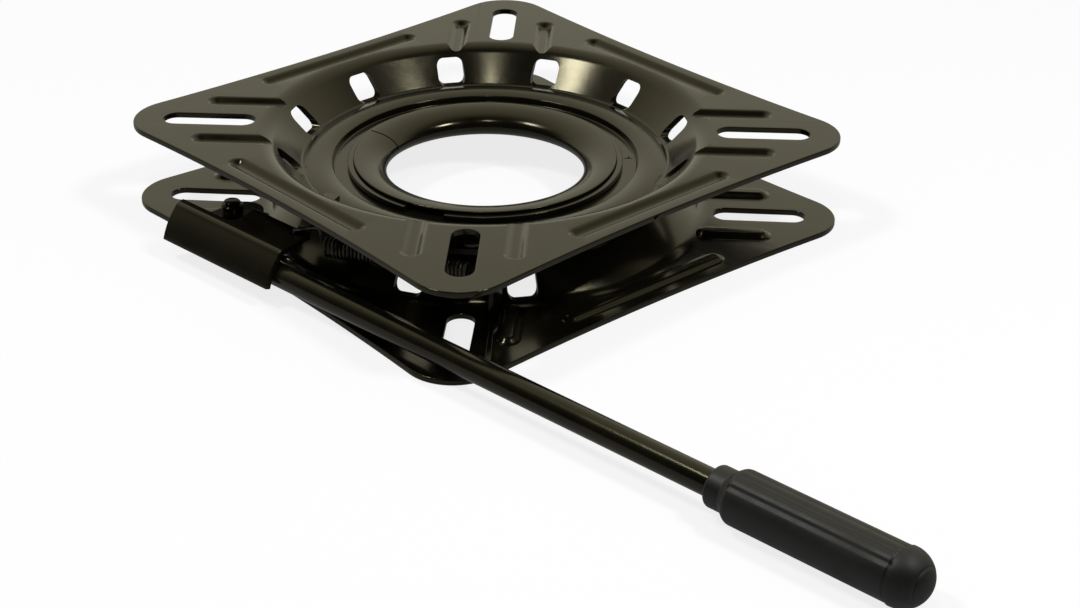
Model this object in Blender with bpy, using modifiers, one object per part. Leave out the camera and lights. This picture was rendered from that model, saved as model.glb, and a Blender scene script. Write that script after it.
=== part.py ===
"""Swivel mount that carries a boat seat.

Two pressed steel plates lie back to back and are held together by a rolled hub sleeve.
They turn on a ring of balls, and a spring-loaded lever locks them every thirty degrees.
Origin: on the swivel axis, at the underside of the lower plate's rim. +Z is up, metres.
"""

from math import asin, atan2, cos, pi, radians, sin, sqrt, tan

import bmesh
import bpy
from mathutils import Matrix, Vector

# Whole mount
OVERALL_HEIGHT = 0.0310
SHEET = 0.0020
SEAT_GAP = 0.0003
CUT_OVERRUN = 0.0010
WELD_DISTANCE = 0.000005
LOWER_PLATE_TURN = radians(-1.25)
TURNING_STEPS = 36

# Plate outline, a rounded square with hollow sides
PLATE_HALF_SIDE = 0.0889
SIDE_HOLLOW = 0.0039
CORNER_RADIUS = 0.0160
CORNER_STEPS = 7
SIDE_STEPS = 5

# Dish pressed into the plate, from its fold inwards; its depth follows from the balls
RIM_WIDTH = 0.0137
FOLD_RADIUS = 0.0080
WALL_ANGLE = radians(45)
RACE_FROM_WALL = 0.0039
RACE_HALF_WIDTH = 0.0033
RACE_RISE = 0.0010
STEP_FROM_RACE = 0.0061
STEP_DEPTH = 0.0022

# Windows that the lever's tongue locks in
WINDOW_COUNT = 12
WINDOW_WIDTH = 0.0095
WINDOW_SILL = 0.0004
WINDOW_HEIGHT = 0.0074
WINDOW_CORNER = 0.0024

# Bolt slots on the diagonals, between the fold and the plate's corner
SLOT_FROM_FOLD = 0.00135
SLOT_FROM_TIP = 0.0100
SLOT_WIDTH = 0.0087

# Stiffening grooves, pressed down from the rim
GROOVE_FROM_EDGE = 0.0109
GROOVE_HALF_LENGTH = 0.0334
PIVOT_SIDE_GROOVE_HALF_LENGTH = 0.03045
GROOVE_WIDTH = 0.0060
GROOVE_DEPTH = 0.0015
GROOVE_DRAFT = 0.0011
CORNER_GROOVE_OFFSET = 0.0153
CORNER_GROOVE_LENGTH = 0.0245
CORNER_GROOVE_IN_FOLD = 0.0047
CORNER_GROOVE_RUN_OUT = 0.0045
CORNER_GROOVE_WIDTH = 0.0050
CORNER_GROOVE_DEPTH = 0.0012

# Balls and their cage
BALL_RADIUS = 0.003175
BALL_COUNT = 16
BALL_FACET_STEPS = 2
CAGE_INSIDE_BALLS = 0.0024
CAGE_OUTSIDE_BALLS = 0.0045
CAGE_THICKNESS = 0.0020
CAGE_POCKET_CLEARANCE = 0.0003

# Split retaining ring between the hub's lip and the plate
RING_FROM_STEP = 0.0051
RING_LEDGE_WIDTH = 0.0016
RING_LIP_CLEARANCE = 0.0004
RING_THICKNESS = 0.0005
RING_GAP_START = radians(-75.5)
RING_GAP_END = radians(-57.5)
RING_STEPS = 36

# Hub sleeve, rolled over at both ends
HUB_LIP_WIDTH = 0.0058
HUB_ROLL_RADIUS = 0.0050
HUB_WALL = 0.0020
HUB_LIP_EDGE = 0.0007
HUB_LIP_DROP = 0.0002

# Nylon bush that centres the plates on the hub
BUSH_WALL = 0.0020
BUSH_RUNNING_CLEARANCE = 0.0012

# Lever rod
ROD_RADIUS = 0.0040
ROD_BELOW_MID = 0.0068
ROD_ANGLE = radians(4.92)
ROD_OUTSIDE_PLATE = 0.0007
ROD_START = -0.0400
ROD_SIDES = 18

# Grip on the rod's free end
GRIP_START = 0.1790
GRIP_LENGTH = 0.0680
GRIP_WALL = 0.0040
GRIP_MOUTH_TAPER = 0.0008
GRIP_COLLAR_RISE = 0.0004
GRIP_COLLAR_LENGTH = 0.0060
GRIP_DOME = 0.0035
GRIP_END_WALL = 0.0060
GRIP_SIDES = 24

# Folded bracket: v is across the rod towards the axis, station is along the rod
PIVOT_STATION = -0.0335
PIVOT_V = 0.0141
BRACKET_PAST_PIVOT = 0.0095
BRACKET_END = 0.0072
SKIRT_TIP_OUTSIDE_ROD = 0.0034
SKIRT_TIP_BELOW_ROD = 0.0020
BEND_INSIDE_ROD = 0.0030
BEND_ABOVE_ROD = 0.0048
BEND_RADIUS = 0.0026
SKIRT_BELLY = 0.0007
FLANGE_EDGE_V = 0.0115
FLANGE_RISE = 0.0016
RELIEF_FROM_PIVOT = 0.0150
RELIEF_CORNER = 0.0030
STRIP_EDGE_V = 0.0018

# Step down from the fold to the pivot tab
TAB_ABOVE_ROD = 0.0023
TAB_WALL_TOP_V = 0.0012
TAB_WALL_FOOT_OUTSIDE_ROD = 0.0028
TAB_HALF_WIDTH = 0.0066
TAB_PAST_PIVOT = 0.0111
TAB_FILLET = 0.0040

# Pivot rivet
RIVET_RADIUS = 0.0030
RIVET_SHOULDER_RADIUS = 0.0036
RIVET_SHOULDER_HEIGHT = 0.0036
RIVET_HEAD_RADIUS = 0.0027
RIVET_HEAD_HEIGHT = 0.0012
SPACER_WALL = 0.0015
PIVOT_CLEARANCE = 0.0003
RIVET_SIDES = 20

# Locking tongue, an arc round the pivot so that it slides through a window
TONGUE_WIDTH = 0.0050
TONGUE_OVER_SILL = 0.0052
TONGUE_MARGIN = 0.0015
TONGUE_ROOT_ANGLE = radians(-1.0)
TONGUE_RAMP_START = radians(1.0)
TONGUE_RAMP_END = radians(9.5)
TONGUE_TIP_ANGLE = radians(26.0)
TONGUE_STEPS = 12

# Weld bead between rod and bracket
WELD_START = -0.0040
WELD_END = 0.0105
WELD_HALF_WIDTH = 0.0015
WELD_HALF_HEIGHT = 0.0012
WELD_V = 0.0017

# Extension spring from the bracket to a tab on the lower plate
SPRING_BELOW_BEND = 0.0030
SPRING_START_X = 0.0092
SPRING_FROM_EDGE = 0.0154
SPRING_LENGTH = 0.0480
SPRING_ANGLE = radians(27.5)
SPRING_COIL_RADIUS = 0.0029
SPRING_WIRE_RADIUS = 0.00045
SPRING_PITCH = 0.0020
SPRING_TURN_STEPS = 7
HOOK_HOLE_RADIUS = 0.0013
HOOK_HOLE_FROM_END = 0.0042
HOOK_HOLE_FROM_EDGE = 0.0027
HOOK_RISE = 0.0012

# Tab on the lower plate that the spring pulls against
ANCHOR_WIDTH = 0.0070
ANCHOR_HOLE_RADIUS = 0.0014
ANCHOR_OVER_SPRING = 0.0035
ANCHOR_STANDOFF = 0.0075
ANCHOR_ROOT = 0.0012

# Paint, plastic and steel: colour, roughness, metallic
BLACK_ENAMEL = ((0.066, 0.062, 0.045), 0.30, 0.0)
BRIGHT_STEEL = ((0.42, 0.41, 0.38), 0.35, 1.0)
BLACK_VINYL = ((0.012, 0.012, 0.012), 0.55, 0.0)
NATURAL_NYLON = ((0.55, 0.53, 0.46), 0.45, 0.0)

# Heights: the balls set how far apart the two dish floors lie
MID_HEIGHT = OVERALL_HEIGHT / 2
RIM_INNER_FACE = OVERALL_HEIGHT - SHEET
FLOOR_HEIGHT = MID_HEIGHT + BALL_RADIUS + SEAT_GAP + SHEET - RACE_RISE
FLANGE_HEIGHT = FLOOR_HEIGHT - STEP_DEPTH
HUB_CREST = FLANGE_HEIGHT + SEAT_GAP + RING_THICKNESS + SEAT_GAP + HUB_WALL

# Radii from the fold in to the hub
DISH_RADIUS = PLATE_HALF_SIDE - RIM_WIDTH
WALL_TOP_RADIUS = DISH_RADIUS - FOLD_RADIUS * sin(WALL_ANGLE)
WALL_TOP_HEIGHT = OVERALL_HEIGHT - FOLD_RADIUS * (1 - cos(WALL_ANGLE))
WALL_FOOT_RADIUS = WALL_TOP_RADIUS - (WALL_TOP_HEIGHT - FLOOR_HEIGHT) / tan(WALL_ANGLE)
RACE_RADIUS = WALL_FOOT_RADIUS - RACE_FROM_WALL
STEP_RADIUS = RACE_RADIUS - STEP_FROM_RACE
RING_OUTER_RADIUS = STEP_RADIUS - RING_FROM_STEP
RING_LEDGE_RADIUS = RING_OUTER_RADIUS - RING_LEDGE_WIDTH
HUB_LIP_RADIUS = RING_LEDGE_RADIUS - RING_LIP_CLEARANCE
HUB_ROLL_CENTRE = HUB_LIP_RADIUS - HUB_LIP_WIDTH
HUB_INNER_RADIUS = HUB_ROLL_CENTRE - HUB_ROLL_RADIUS
BUSH_INNER_RADIUS = HUB_INNER_RADIUS + HUB_WALL + BUSH_RUNNING_CLEARANCE
BUSH_OUTER_RADIUS = BUSH_INNER_RADIUS + BUSH_WALL
PLATE_BORE_RADIUS = BUSH_OUTER_RADIUS + SEAT_GAP
RING_INNER_RADIUS = PLATE_BORE_RADIUS + SEAT_GAP

# Corner of the outline: where its arc is centred, and its tip on the diagonal
SIDE_ARC_RADIUS = (PLATE_HALF_SIDE ** 2 + SIDE_HOLLOW ** 2) / (2 * SIDE_HOLLOW)
SIDE_ARC_CENTRE = PLATE_HALF_SIDE - SIDE_HOLLOW + SIDE_ARC_RADIUS
CORNER_REACH = SIDE_ARC_RADIUS + CORNER_RADIUS
CORNER_CENTRE = (SIDE_ARC_CENTRE - sqrt(2 * CORNER_REACH ** 2 - SIDE_ARC_CENTRE ** 2)) / 2
CORNER_TIP = CORNER_CENTRE * sqrt(2) + CORNER_RADIUS

# Lever heights, from the rod up
ROD_HEIGHT = MID_HEIGHT - ROD_BELOW_MID
BEND_HEIGHT = ROD_HEIGHT + ROD_RADIUS + BEND_ABOVE_ROD
FLANGE_EDGE_HEIGHT = BEND_HEIGHT + FLANGE_RISE
TAB_TOP = ROD_HEIGHT + TAB_ABOVE_ROD
TONGUE_TOP = FLOOR_HEIGHT + WINDOW_SILL + TONGUE_OVER_SILL
SPRING_HEIGHT = BEND_HEIGHT - SPRING_BELOW_BEND

# Lever places along and across the rod
SKIRT_TIP = (-ROD_RADIUS - SKIRT_TIP_OUTSIDE_ROD, ROD_HEIGHT - SKIRT_TIP_BELOW_ROD)
BEND = (BEND_INSIDE_ROD - ROD_RADIUS, BEND_HEIGHT)
BRACKET_START = PIVOT_STATION - BRACKET_PAST_PIVOT
RELIEF_STATION = PIVOT_STATION + RELIEF_FROM_PIVOT
TAB_WALL_FOOT_V = ROD_RADIUS + TAB_WALL_FOOT_OUTSIDE_ROD
TAB_TIP_V = PIVOT_V + TAB_PAST_PIVOT


def clear_scene():
    for old in list(bpy.data.objects):
        bpy.data.objects.remove(old)


def make_collection(name):
    collection = bpy.data.collections.new(name)
    bpy.context.scene.collection.children.link(collection)
    return collection


clear_scene()
PARTS = make_collection("boat_seat_mount")
CUTTERS = make_collection("cutters")


def paint(obj, finish):
    """Give a piece its own Principled material."""
    colour, roughness, metallic = finish
    material = bpy.data.materials.new(obj.name)
    material.use_nodes = True
    shader = material.node_tree.nodes["Principled BSDF"]
    shader.inputs["Base Color"].default_value = (*colour, 1.0)
    shader.inputs["Roughness"].default_value = roughness
    shader.inputs["Metallic"].default_value = metallic
    obj.data.materials.clear()
    obj.data.materials.append(material)


def add_object(name, data, collection):
    obj = bpy.data.objects.new(name, data)
    collection.objects.link(obj)
    if collection is CUTTERS:
        obj.hide_render = True
        obj.display_type = "WIRE"
    return obj


def keep_mesh(name, bm, collection=CUTTERS):
    """Store a bmesh as an object, welded and with its faces pointing out."""
    bmesh.ops.remove_doubles(bm, verts=bm.verts, dist=WELD_DISTANCE)
    bmesh.ops.recalc_face_normals(bm, faces=bm.faces)
    mesh = bpy.data.meshes.new(name)
    bm.to_mesh(mesh)
    bm.free()
    return add_object(name, mesh, collection)


def as_mesh(obj, name, collection=CUTTERS):
    """Turn a curve, or an object with modifiers, into a welded mesh object."""
    graph = bpy.context.evaluated_depsgraph_get()
    graph.update()
    mesh = bpy.data.meshes.new_from_object(obj.evaluated_get(graph))
    bm = bmesh.new()
    bm.from_mesh(mesh)
    bm.transform(obj.matrix_world)
    bpy.data.objects.remove(obj)
    return keep_mesh(name, bm, collection)


def combine(obj, other, operation):
    step = obj.modifiers.new(operation.lower(), "BOOLEAN")
    step.operation = operation
    step.object = other
    step.solver = "EXACT"


def shade(obj, angle=radians(35)):
    obj.data.shade_smooth()
    obj.data.set_sharp_from_angle(angle=angle)


def arc(centre, radius, start, end, steps):
    """Points on an arc from one angle to another, both ends kept."""
    turn = (end - start) / steps
    return [
        (centre[0] + radius * cos(start + turn * i), centre[1] + radius * sin(start + turn * i))
        for i in range(steps + 1)
    ]


def turned(name, profile, steps=TURNING_STEPS, collection=CUTTERS):
    """Turn a closed (radius, height) profile round the Z axis."""
    bm = bmesh.new()
    corners = [bm.verts.new((radius, 0, height)) for radius, height in profile]
    for first, second in zip(corners, corners[1:] + corners[:1]):
        bm.edges.new((first, second))
    mesh = bpy.data.meshes.new(name)
    bm.to_mesh(mesh)
    bm.free()
    obj = add_object(name + "_profile", mesh, CUTTERS)
    screw = obj.modifiers.new("turn", "SCREW")
    screw.axis = "Z"
    screw.angle = 2 * pi
    screw.steps = steps
    screw.render_steps = steps
    screw.use_merge_vertices = True
    screw.merge_threshold = WELD_DISTANCE
    return as_mesh(obj, name, collection)


def prism(name, outline, low, high, collection=CUTTERS):
    """A flat outline extruded between two heights."""
    curve = bpy.data.curves.new(name, "CURVE")
    curve.dimensions = "2D"
    curve.fill_mode = "BOTH"
    curve.extrude = (high - low) / 2
    line = curve.splines.new("POLY")
    line.points.add(len(outline) - 1)
    for point, (x, y) in zip(line.points, outline):
        point.co = (x, y, 0, 1)
    line.use_cyclic_u = True
    obj = add_object(name + "_outline", curve, CUTTERS)
    obj.location.z = (high + low) / 2
    bpy.context.view_layer.update()
    return as_mesh(obj, name, collection)


def stadium(half_length, half_width, steps=4):
    """Outline with two parallel sides and round ends, along X."""
    reach = half_length - half_width
    right = arc((reach, 0), half_width, -pi / 2, pi / 2, steps)
    left = arc((-reach, 0), half_width, pi / 2, 3 * pi / 2, steps)
    return right + left


def place(outline, angle, centre):
    """Turn an outline and move it to its centre."""
    x0, y0 = centre
    return [
        (x0 + x * cos(angle) - y * sin(angle), y0 + x * sin(angle) + y * cos(angle))
        for x, y in outline
    ]


def offset_line(points, distance):
    """Shift an open line to its right by a distance, with mitred corners."""
    shifted = []
    last = len(points) - 1
    for i, (x, y) in enumerate(points):
        before = Vector(points[i]) - Vector(points[max(i - 1, 0)])
        after = Vector(points[min(i + 1, last)]) - Vector(points[i])
        before = (before if i else after).normalized()
        after = (after if i < last else before).normalized()
        side = Vector((before.y + after.y, -before.x - after.x)).normalized()
        reach = distance / max(side.dot(Vector((before.y, -before.x))), sin(pi / 6))
        shifted.append((x + side.x * reach, y + side.y * reach))
    return shifted


def mirrored(point):
    """The same point on the lower half of the mount."""
    return (point[0], OVERALL_HEIGHT - point[1])


def join_meshes(name, objects, collection=CUTTERS):
    """Put several separate closed shapes in one cutter."""
    bm = bmesh.new()
    for obj in objects:
        bm.from_mesh(obj.data)
        bpy.data.objects.remove(obj)
    return keep_mesh(name, bm, collection)


def plate_outline():
    """Rounded square: each side is a hollow arc that runs smoothly into the corners."""
    tangent = asin(CORNER_CENTRE / CORNER_REACH)
    outline = []
    for quarter in range(4):
        side = arc((SIDE_ARC_CENTRE, 0), SIDE_ARC_RADIUS, pi + tangent, pi - tangent, SIDE_STEPS)
        bend = arc((CORNER_CENTRE, CORNER_CENTRE), CORNER_RADIUS, -tangent, pi / 2 + tangent,
                   CORNER_STEPS)
        outline += place(side[1:] + bend[1:], quarter * pi / 2, (0, 0))
    return outline


def dish_line():
    """Top face of the pressed sheet, from the rim in to the bore."""
    fold_centre = (DISH_RADIUS, OVERALL_HEIGHT - FOLD_RADIUS)
    fold = arc(fold_centre, FOLD_RADIUS, pi / 2, pi / 2 + WALL_ANGLE, 3)
    race_radius = (RACE_HALF_WIDTH ** 2 + RACE_RISE ** 2) / (2 * RACE_RISE)
    race_centre = (RACE_RADIUS, FLOOR_HEIGHT + RACE_RISE - race_radius)
    race_half_angle = asin(RACE_HALF_WIDTH / race_radius)
    race = arc(race_centre, race_radius, pi / 2 - race_half_angle, pi / 2 + race_half_angle, 4)
    rim_end = (PLATE_HALF_SIDE * sqrt(2), OVERALL_HEIGHT)
    return [
        rim_end, *fold, (WALL_FOOT_RADIUS, FLOOR_HEIGHT), *race,
        (STEP_RADIUS, FLOOR_HEIGHT), (STEP_RADIUS, FLANGE_HEIGHT),
        (PLATE_BORE_RADIUS, FLANGE_HEIGHT),
    ]


def window_cutter():
    """Twelve rounded openings cut level and radially through the dish wall."""
    sill = FLOOR_HEIGHT + WINDOW_SILL
    head = sill + WINDOW_HEIGHT
    inner = WALL_FOOT_RADIUS + WINDOW_SILL / 2
    outer = DISH_RADIUS
    half_width = WINDOW_WIDTH / 2
    corners = (
        arc((half_width - WINDOW_CORNER, head - WINDOW_CORNER), WINDOW_CORNER, 0, pi / 2, 3)
        + arc((WINDOW_CORNER - half_width, head - WINDOW_CORNER), WINDOW_CORNER, pi / 2, pi, 3)
        + arc((WINDOW_CORNER - half_width, sill + WINDOW_CORNER), WINDOW_CORNER, pi, 3 * pi / 2, 3)
        + arc((half_width - WINDOW_CORNER, sill + WINDOW_CORNER), WINDOW_CORNER,
              3 * pi / 2, 2 * pi, 3)
    )
    stand_up = Matrix(((0, 0, 1), (1, 0, 0), (0, 1, 0))).to_4x4()
    copies = []
    for i in range(WINDOW_COUNT):
        cutter = prism(f"window_{i}", corners, inner, outer)
        turn = Matrix.Rotation(2 * pi * i / WINDOW_COUNT, 4, "Z")
        cutter.data.transform(turn @ stand_up)
        copies.append(cutter)
    return join_meshes("window_cutter", copies)


def slot_cutter():
    inner_end = DISH_RADIUS + SLOT_FROM_FOLD
    outer_end = CORNER_TIP - SLOT_FROM_TIP
    middle = (inner_end + outer_end) / 2
    outline = stadium((outer_end - inner_end) / 2, SLOT_WIDTH / 2, 5)
    copies = []
    for i in range(4):
        angle = pi / 4 + i * pi / 2
        centre = (middle * cos(angle), middle * sin(angle))
        low = RIM_INNER_FACE - CUT_OVERRUN
        high = OVERALL_HEIGHT + CUT_OVERRUN
        copies.append(prism(f"slot_{i}", place(outline, angle, centre), low, high))
    return join_meshes("slot_cutter", copies)


def groove_block(name, half_length, width, low, high, draft):
    """A bar with round ends whose lower face is smaller by the draft."""
    block = prism(name, stadium(half_length, width / 2, 4), low, high)
    middle = (low + high) / 2
    for vertex in block.data.vertices:
        if vertex.co.z < middle:
            vertex.co.x *= (half_length - draft) / half_length
            vertex.co.y *= (width / 2 - draft) / (width / 2)
    return block


def press_groove(plate, half_length, width, depth, centre, angle, run_out=0):
    """Press one groove: a bead below the rim and a recess above, which may run out inwards."""
    place_it = Matrix.Translation((*centre, 0)) @ Matrix.Rotation(angle, 4, "Z")
    bead = groove_block("bead", half_length, width, RIM_INNER_FACE - depth,
                        RIM_INNER_FACE + SEAT_GAP, GROOVE_DRAFT / 2)
    recess = groove_block("recess", half_length - GROOVE_DRAFT + run_out / 2,
                          width - GROOVE_DRAFT, OVERALL_HEIGHT - depth,
                          OVERALL_HEIGHT + SEAT_GAP, GROOVE_DRAFT)
    recess.data.transform(Matrix.Translation((-run_out / 2, 0, 0)))
    for block in (bead, recess):
        block.data.transform(place_it)
    combine(plate, bead, "UNION")
    combine(plate, recess, "DIFFERENCE")


def pressed_plate(name, pivot_side_half_length, pivot_side_shift):
    """One pressed plate, drawn as the upper one with its pivot side on -Y."""
    top = dish_line()
    under = offset_line(top, -SHEET)
    under[0] = (top[0][0], RIM_INNER_FACE)
    under[-1] = (PLATE_BORE_RADIUS, FLANGE_HEIGHT - SHEET)
    disc = turned(name, [top[0]] + under + top[:0:-1])
    blank = prism(name + "_blank", plate_outline(), 0, OVERALL_HEIGHT + SHEET)
    combine(disc, blank, "INTERSECT")
    for i in range(4):
        angle = i * pi / 2
        on_pivot_side = i == 3
        half_length = pivot_side_half_length if on_pivot_side else GROOVE_HALF_LENGTH
        shift = pivot_side_shift if on_pivot_side else 0
        distance = PLATE_HALF_SIDE - GROOVE_FROM_EDGE
        centre = (distance * cos(angle) - shift * sin(angle),
                  distance * sin(angle) + shift * cos(angle))
        press_groove(disc, half_length, GROOVE_WIDTH, GROOVE_DEPTH, centre, angle + pi / 2)
        diagonal = angle + pi / 4
        reach = CORNER_GROOVE_LENGTH / 2
        middle = DISH_RADIUS - CORNER_GROOVE_IN_FOLD + reach
        for side in (-1, 1):
            offset = side * CORNER_GROOVE_OFFSET
            spot = (middle * cos(diagonal) - offset * sin(diagonal),
                    middle * sin(diagonal) + offset * cos(diagonal))
            press_groove(disc, reach, CORNER_GROOVE_WIDTH, CORNER_GROOVE_DEPTH, spot, diagonal,
                         CORNER_GROOVE_RUN_OUT)
    combine(disc, slot_cutter(), "DIFFERENCE")
    combine(disc, window_cutter(), "DIFFERENCE")
    return disc


def turn_over():
    """Half turn about X through the mount's middle, then the lower plate's small twist."""
    lift = Matrix.Translation((0, 0, MID_HEIGHT))
    flip = lift @ Matrix.Rotation(pi, 4, "X") @ lift.inverted()
    return Matrix.Rotation(LOWER_PLATE_TURN, 4, "Z") @ flip


def upper_plate():
    plate = as_mesh(pressed_plate("upper_disc", GROOVE_HALF_LENGTH, 0), "upper_plate", PARTS)
    paint(plate, BLACK_ENAMEL)
    shade(plate)


def lever_point(station, v, height=0):
    """Place along and across the lever rod, as a point of the mount."""
    return Vector((station * cos(ROD_ANGLE) - v * sin(ROD_ANGLE),
                   station * sin(ROD_ANGLE) + v * cos(ROD_ANGLE)
                   - PLATE_HALF_SIDE - ROD_OUTSIDE_PLATE, height))


def lever_matrix():
    """From (station, v, height) to the mount's frame."""
    return Matrix.Translation(lever_point(0, 0)) @ Matrix.Rotation(ROD_ANGLE, 4, "Z")


def spring_axis(distance):
    """A point on the spring's axis."""
    return Vector((SPRING_START_X + distance * cos(SPRING_ANGLE),
                   SPRING_FROM_EDGE - PLATE_HALF_SIDE + distance * sin(SPRING_ANGLE),
                   SPRING_HEIGHT))


def spring_anchor():
    """Upright tab for the spring's far hook, with its hole."""
    half_width = ANCHOR_WIDTH / 2
    top = SPRING_HEIGHT + ANCHOR_OVER_SPRING
    crown = arc((0, top - half_width), half_width, 0, pi, 6)
    outline = [(half_width, ANCHOR_ROOT), *crown, (-half_width, ANCHOR_ROOT)]
    tab = prism("anchor", outline, 0, SHEET)
    hole = prism("anchor_hole", arc((0, SPRING_HEIGHT), ANCHOR_HOLE_RADIUS, 0, 2 * pi, 10)[1:],
                 -CUT_OVERRUN, SHEET + CUT_OVERRUN)
    foot = spring_axis(SPRING_LENGTH + ANCHOR_STANDOFF)
    stand = Matrix(((0, 0, 1), (1, 0, 0), (0, 1, 0))).to_4x4()
    spot = Matrix.Translation((foot.x, foot.y, 0)) @ Matrix.Rotation(SPRING_ANGLE, 4, "Z")
    for block in (tab, hole):
        block.data.transform(spot @ stand)
    return tab, hole


def lower_plate():
    """The same pressing turned over, with the rivet's hole and the spring's tab."""
    shift = GROOVE_HALF_LENGTH - PIVOT_SIDE_GROOVE_HALF_LENGTH
    pressing = pressed_plate("lower_disc", PIVOT_SIDE_GROOVE_HALF_LENGTH, -shift)
    turned_plate = as_mesh(pressing, "lower_turned")
    turned_plate.data.transform(Matrix.Rotation(pi, 4, "Z"))
    turned_plate.data.transform(turn_over())
    pivot = lever_point(PIVOT_STATION, PIVOT_V)
    hole = turned("rivet_hole", [
        (0, -CUT_OVERRUN), (0, SHEET + GROOVE_DEPTH + CUT_OVERRUN),
        (RIVET_RADIUS + PIVOT_CLEARANCE, SHEET + GROOVE_DEPTH + CUT_OVERRUN),
        (RIVET_RADIUS + PIVOT_CLEARANCE, -CUT_OVERRUN)], RIVET_SIDES)
    hole.data.transform(Matrix.Translation(pivot))
    tab, tab_hole = spring_anchor()
    combine(turned_plate, tab, "UNION")
    combine(turned_plate, hole, "DIFFERENCE")
    combine(turned_plate, tab_hole, "DIFFERENCE")
    plate = as_mesh(turned_plate, "lower_plate", PARTS)
    paint(plate, BLACK_ENAMEL)
    shade(plate)


def hub_sleeve():
    """Rolled sleeve whose lips hold both plates together."""
    centre = (HUB_ROLL_CENTRE, HUB_CREST - HUB_ROLL_RADIUS)
    inner = arc(centre, HUB_ROLL_RADIUS, pi / 2, pi, 5)
    outer = arc(centre, HUB_ROLL_RADIUS - HUB_WALL, pi, pi / 2, 3)
    lip_top = HUB_CREST - HUB_LIP_DROP
    upper_face = [(HUB_LIP_RADIUS, lip_top), *inner]
    back_face = [*outer, (HUB_LIP_RADIUS, lip_top - HUB_LIP_EDGE)]
    lower_back = [mirrored(point) for point in reversed(back_face)]
    lower_face = [mirrored(point) for point in reversed(upper_face)]
    hub = turned("hub_sleeve", upper_face + lower_face + lower_back + back_face, TURNING_STEPS,
                 PARTS)
    paint(hub, BLACK_ENAMEL)
    shade(hub)


def lip_underside(radius):
    """Height of the hub lip's underside at a radius."""
    low = HUB_CREST - HUB_WALL
    high = HUB_CREST - HUB_LIP_DROP - HUB_LIP_EDGE
    return low + (high - low) * (radius - HUB_ROLL_CENTRE) / HUB_LIP_WIDTH


def retaining_ring(name):
    """Split ring that seats under the hub's lip, with a ledge outside the lip."""
    bottom = FLANGE_HEIGHT + SEAT_GAP
    inner_top = lip_underside(RING_INNER_RADIUS) - SEAT_GAP
    ledge = lip_underside(HUB_LIP_RADIUS) - SEAT_GAP
    ring = turned(name + "_whole", [
        (RING_OUTER_RADIUS, ledge), (RING_OUTER_RADIUS, bottom), (RING_INNER_RADIUS, bottom),
        (RING_INNER_RADIUS, inner_top), (RING_LEDGE_RADIUS, ledge)], RING_STEPS)
    reach = RING_OUTER_RADIUS + CUT_OVERRUN
    near = RING_INNER_RADIUS - CUT_OVERRUN
    wedge = [(radius * cos(angle), radius * sin(angle)) for radius, angle in (
        (near, RING_GAP_START), (reach, RING_GAP_START), (reach, RING_GAP_END),
        (near, RING_GAP_END))]
    gap = prism(name + "_gap", wedge, bottom - CUT_OVERRUN, ledge + CUT_OVERRUN)
    combine(ring, gap, "DIFFERENCE")
    split = as_mesh(ring, name, PARTS)
    paint(split, BRIGHT_STEEL)
    shade(split)
    return split


def retaining_rings():
    retaining_ring("upper_retaining_ring")
    lower = retaining_ring("lower_retaining_ring")
    lower.data.transform(turn_over())


def centre_bush():
    outer_edge = (BUSH_OUTER_RADIUS, FLANGE_HEIGHT)
    inner_edge = (BUSH_INNER_RADIUS, FLANGE_HEIGHT)
    bush = turned("centre_bush", [
        outer_edge, mirrored(outer_edge), mirrored(inner_edge), inner_edge], RING_STEPS, PARTS)
    paint(bush, NATURAL_NYLON)
    shade(bush)


def ball_places():
    step = 2 * pi / BALL_COUNT
    return [Vector((RACE_RADIUS * cos(step * i), RACE_RADIUS * sin(step * i), MID_HEIGHT))
            for i in range(BALL_COUNT)]


def balls():
    """Sixteen steel balls that share one mesh."""
    bm = bmesh.new()
    bmesh.ops.create_icosphere(bm, subdivisions=BALL_FACET_STEPS, radius=BALL_RADIUS)
    mesh = bpy.data.meshes.new("ball")
    bm.to_mesh(mesh)
    bm.free()
    mesh.shade_smooth()
    for i, spot in enumerate(ball_places()):
        ball = add_object(f"ball_{i + 1:02d}", mesh, PARTS)
        ball.location = spot
        if i == 0:
            paint(ball, BRIGHT_STEEL)


def ball_cage():
    """Comb-shaped flat ring: each pocket opens inwards and still traps its ball."""
    top = MID_HEIGHT + CAGE_THICKNESS / 2
    bottom = MID_HEIGHT - CAGE_THICKNESS / 2
    inner = RACE_RADIUS - CAGE_INSIDE_BALLS
    outer = RACE_RADIUS + CAGE_OUTSIDE_BALLS
    ring = turned("cage_ring", [(outer, top), (outer, bottom), (inner, bottom), (inner, top)])
    pocket = BALL_RADIUS + CAGE_POCKET_CLEARANCE
    pockets = [
        prism(f"pocket_{i}", arc(spot.xy, pocket, 0, 2 * pi, 12)[1:], bottom - CUT_OVERRUN,
              top + CUT_OVERRUN)
        for i, spot in enumerate(ball_places())
    ]
    combine(ring, join_meshes("pockets", pockets), "DIFFERENCE")
    cage = as_mesh(ring, "ball_cage", PARTS)
    paint(cage, NATURAL_NYLON)
    shade(cage)


def extruded_sheet(name, line, start, end, thickness):
    """A folded sheet: a (v, height) line with thickness on its right, along the rod."""
    section = list(line) + offset_line(line, thickness)[::-1]
    block = prism(name, section, start, end)
    lay_along = Matrix(((0, 0, 1), (1, 0, 0), (0, 1, 0))).to_4x4()
    block.data.transform(lay_along)
    return block


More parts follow.
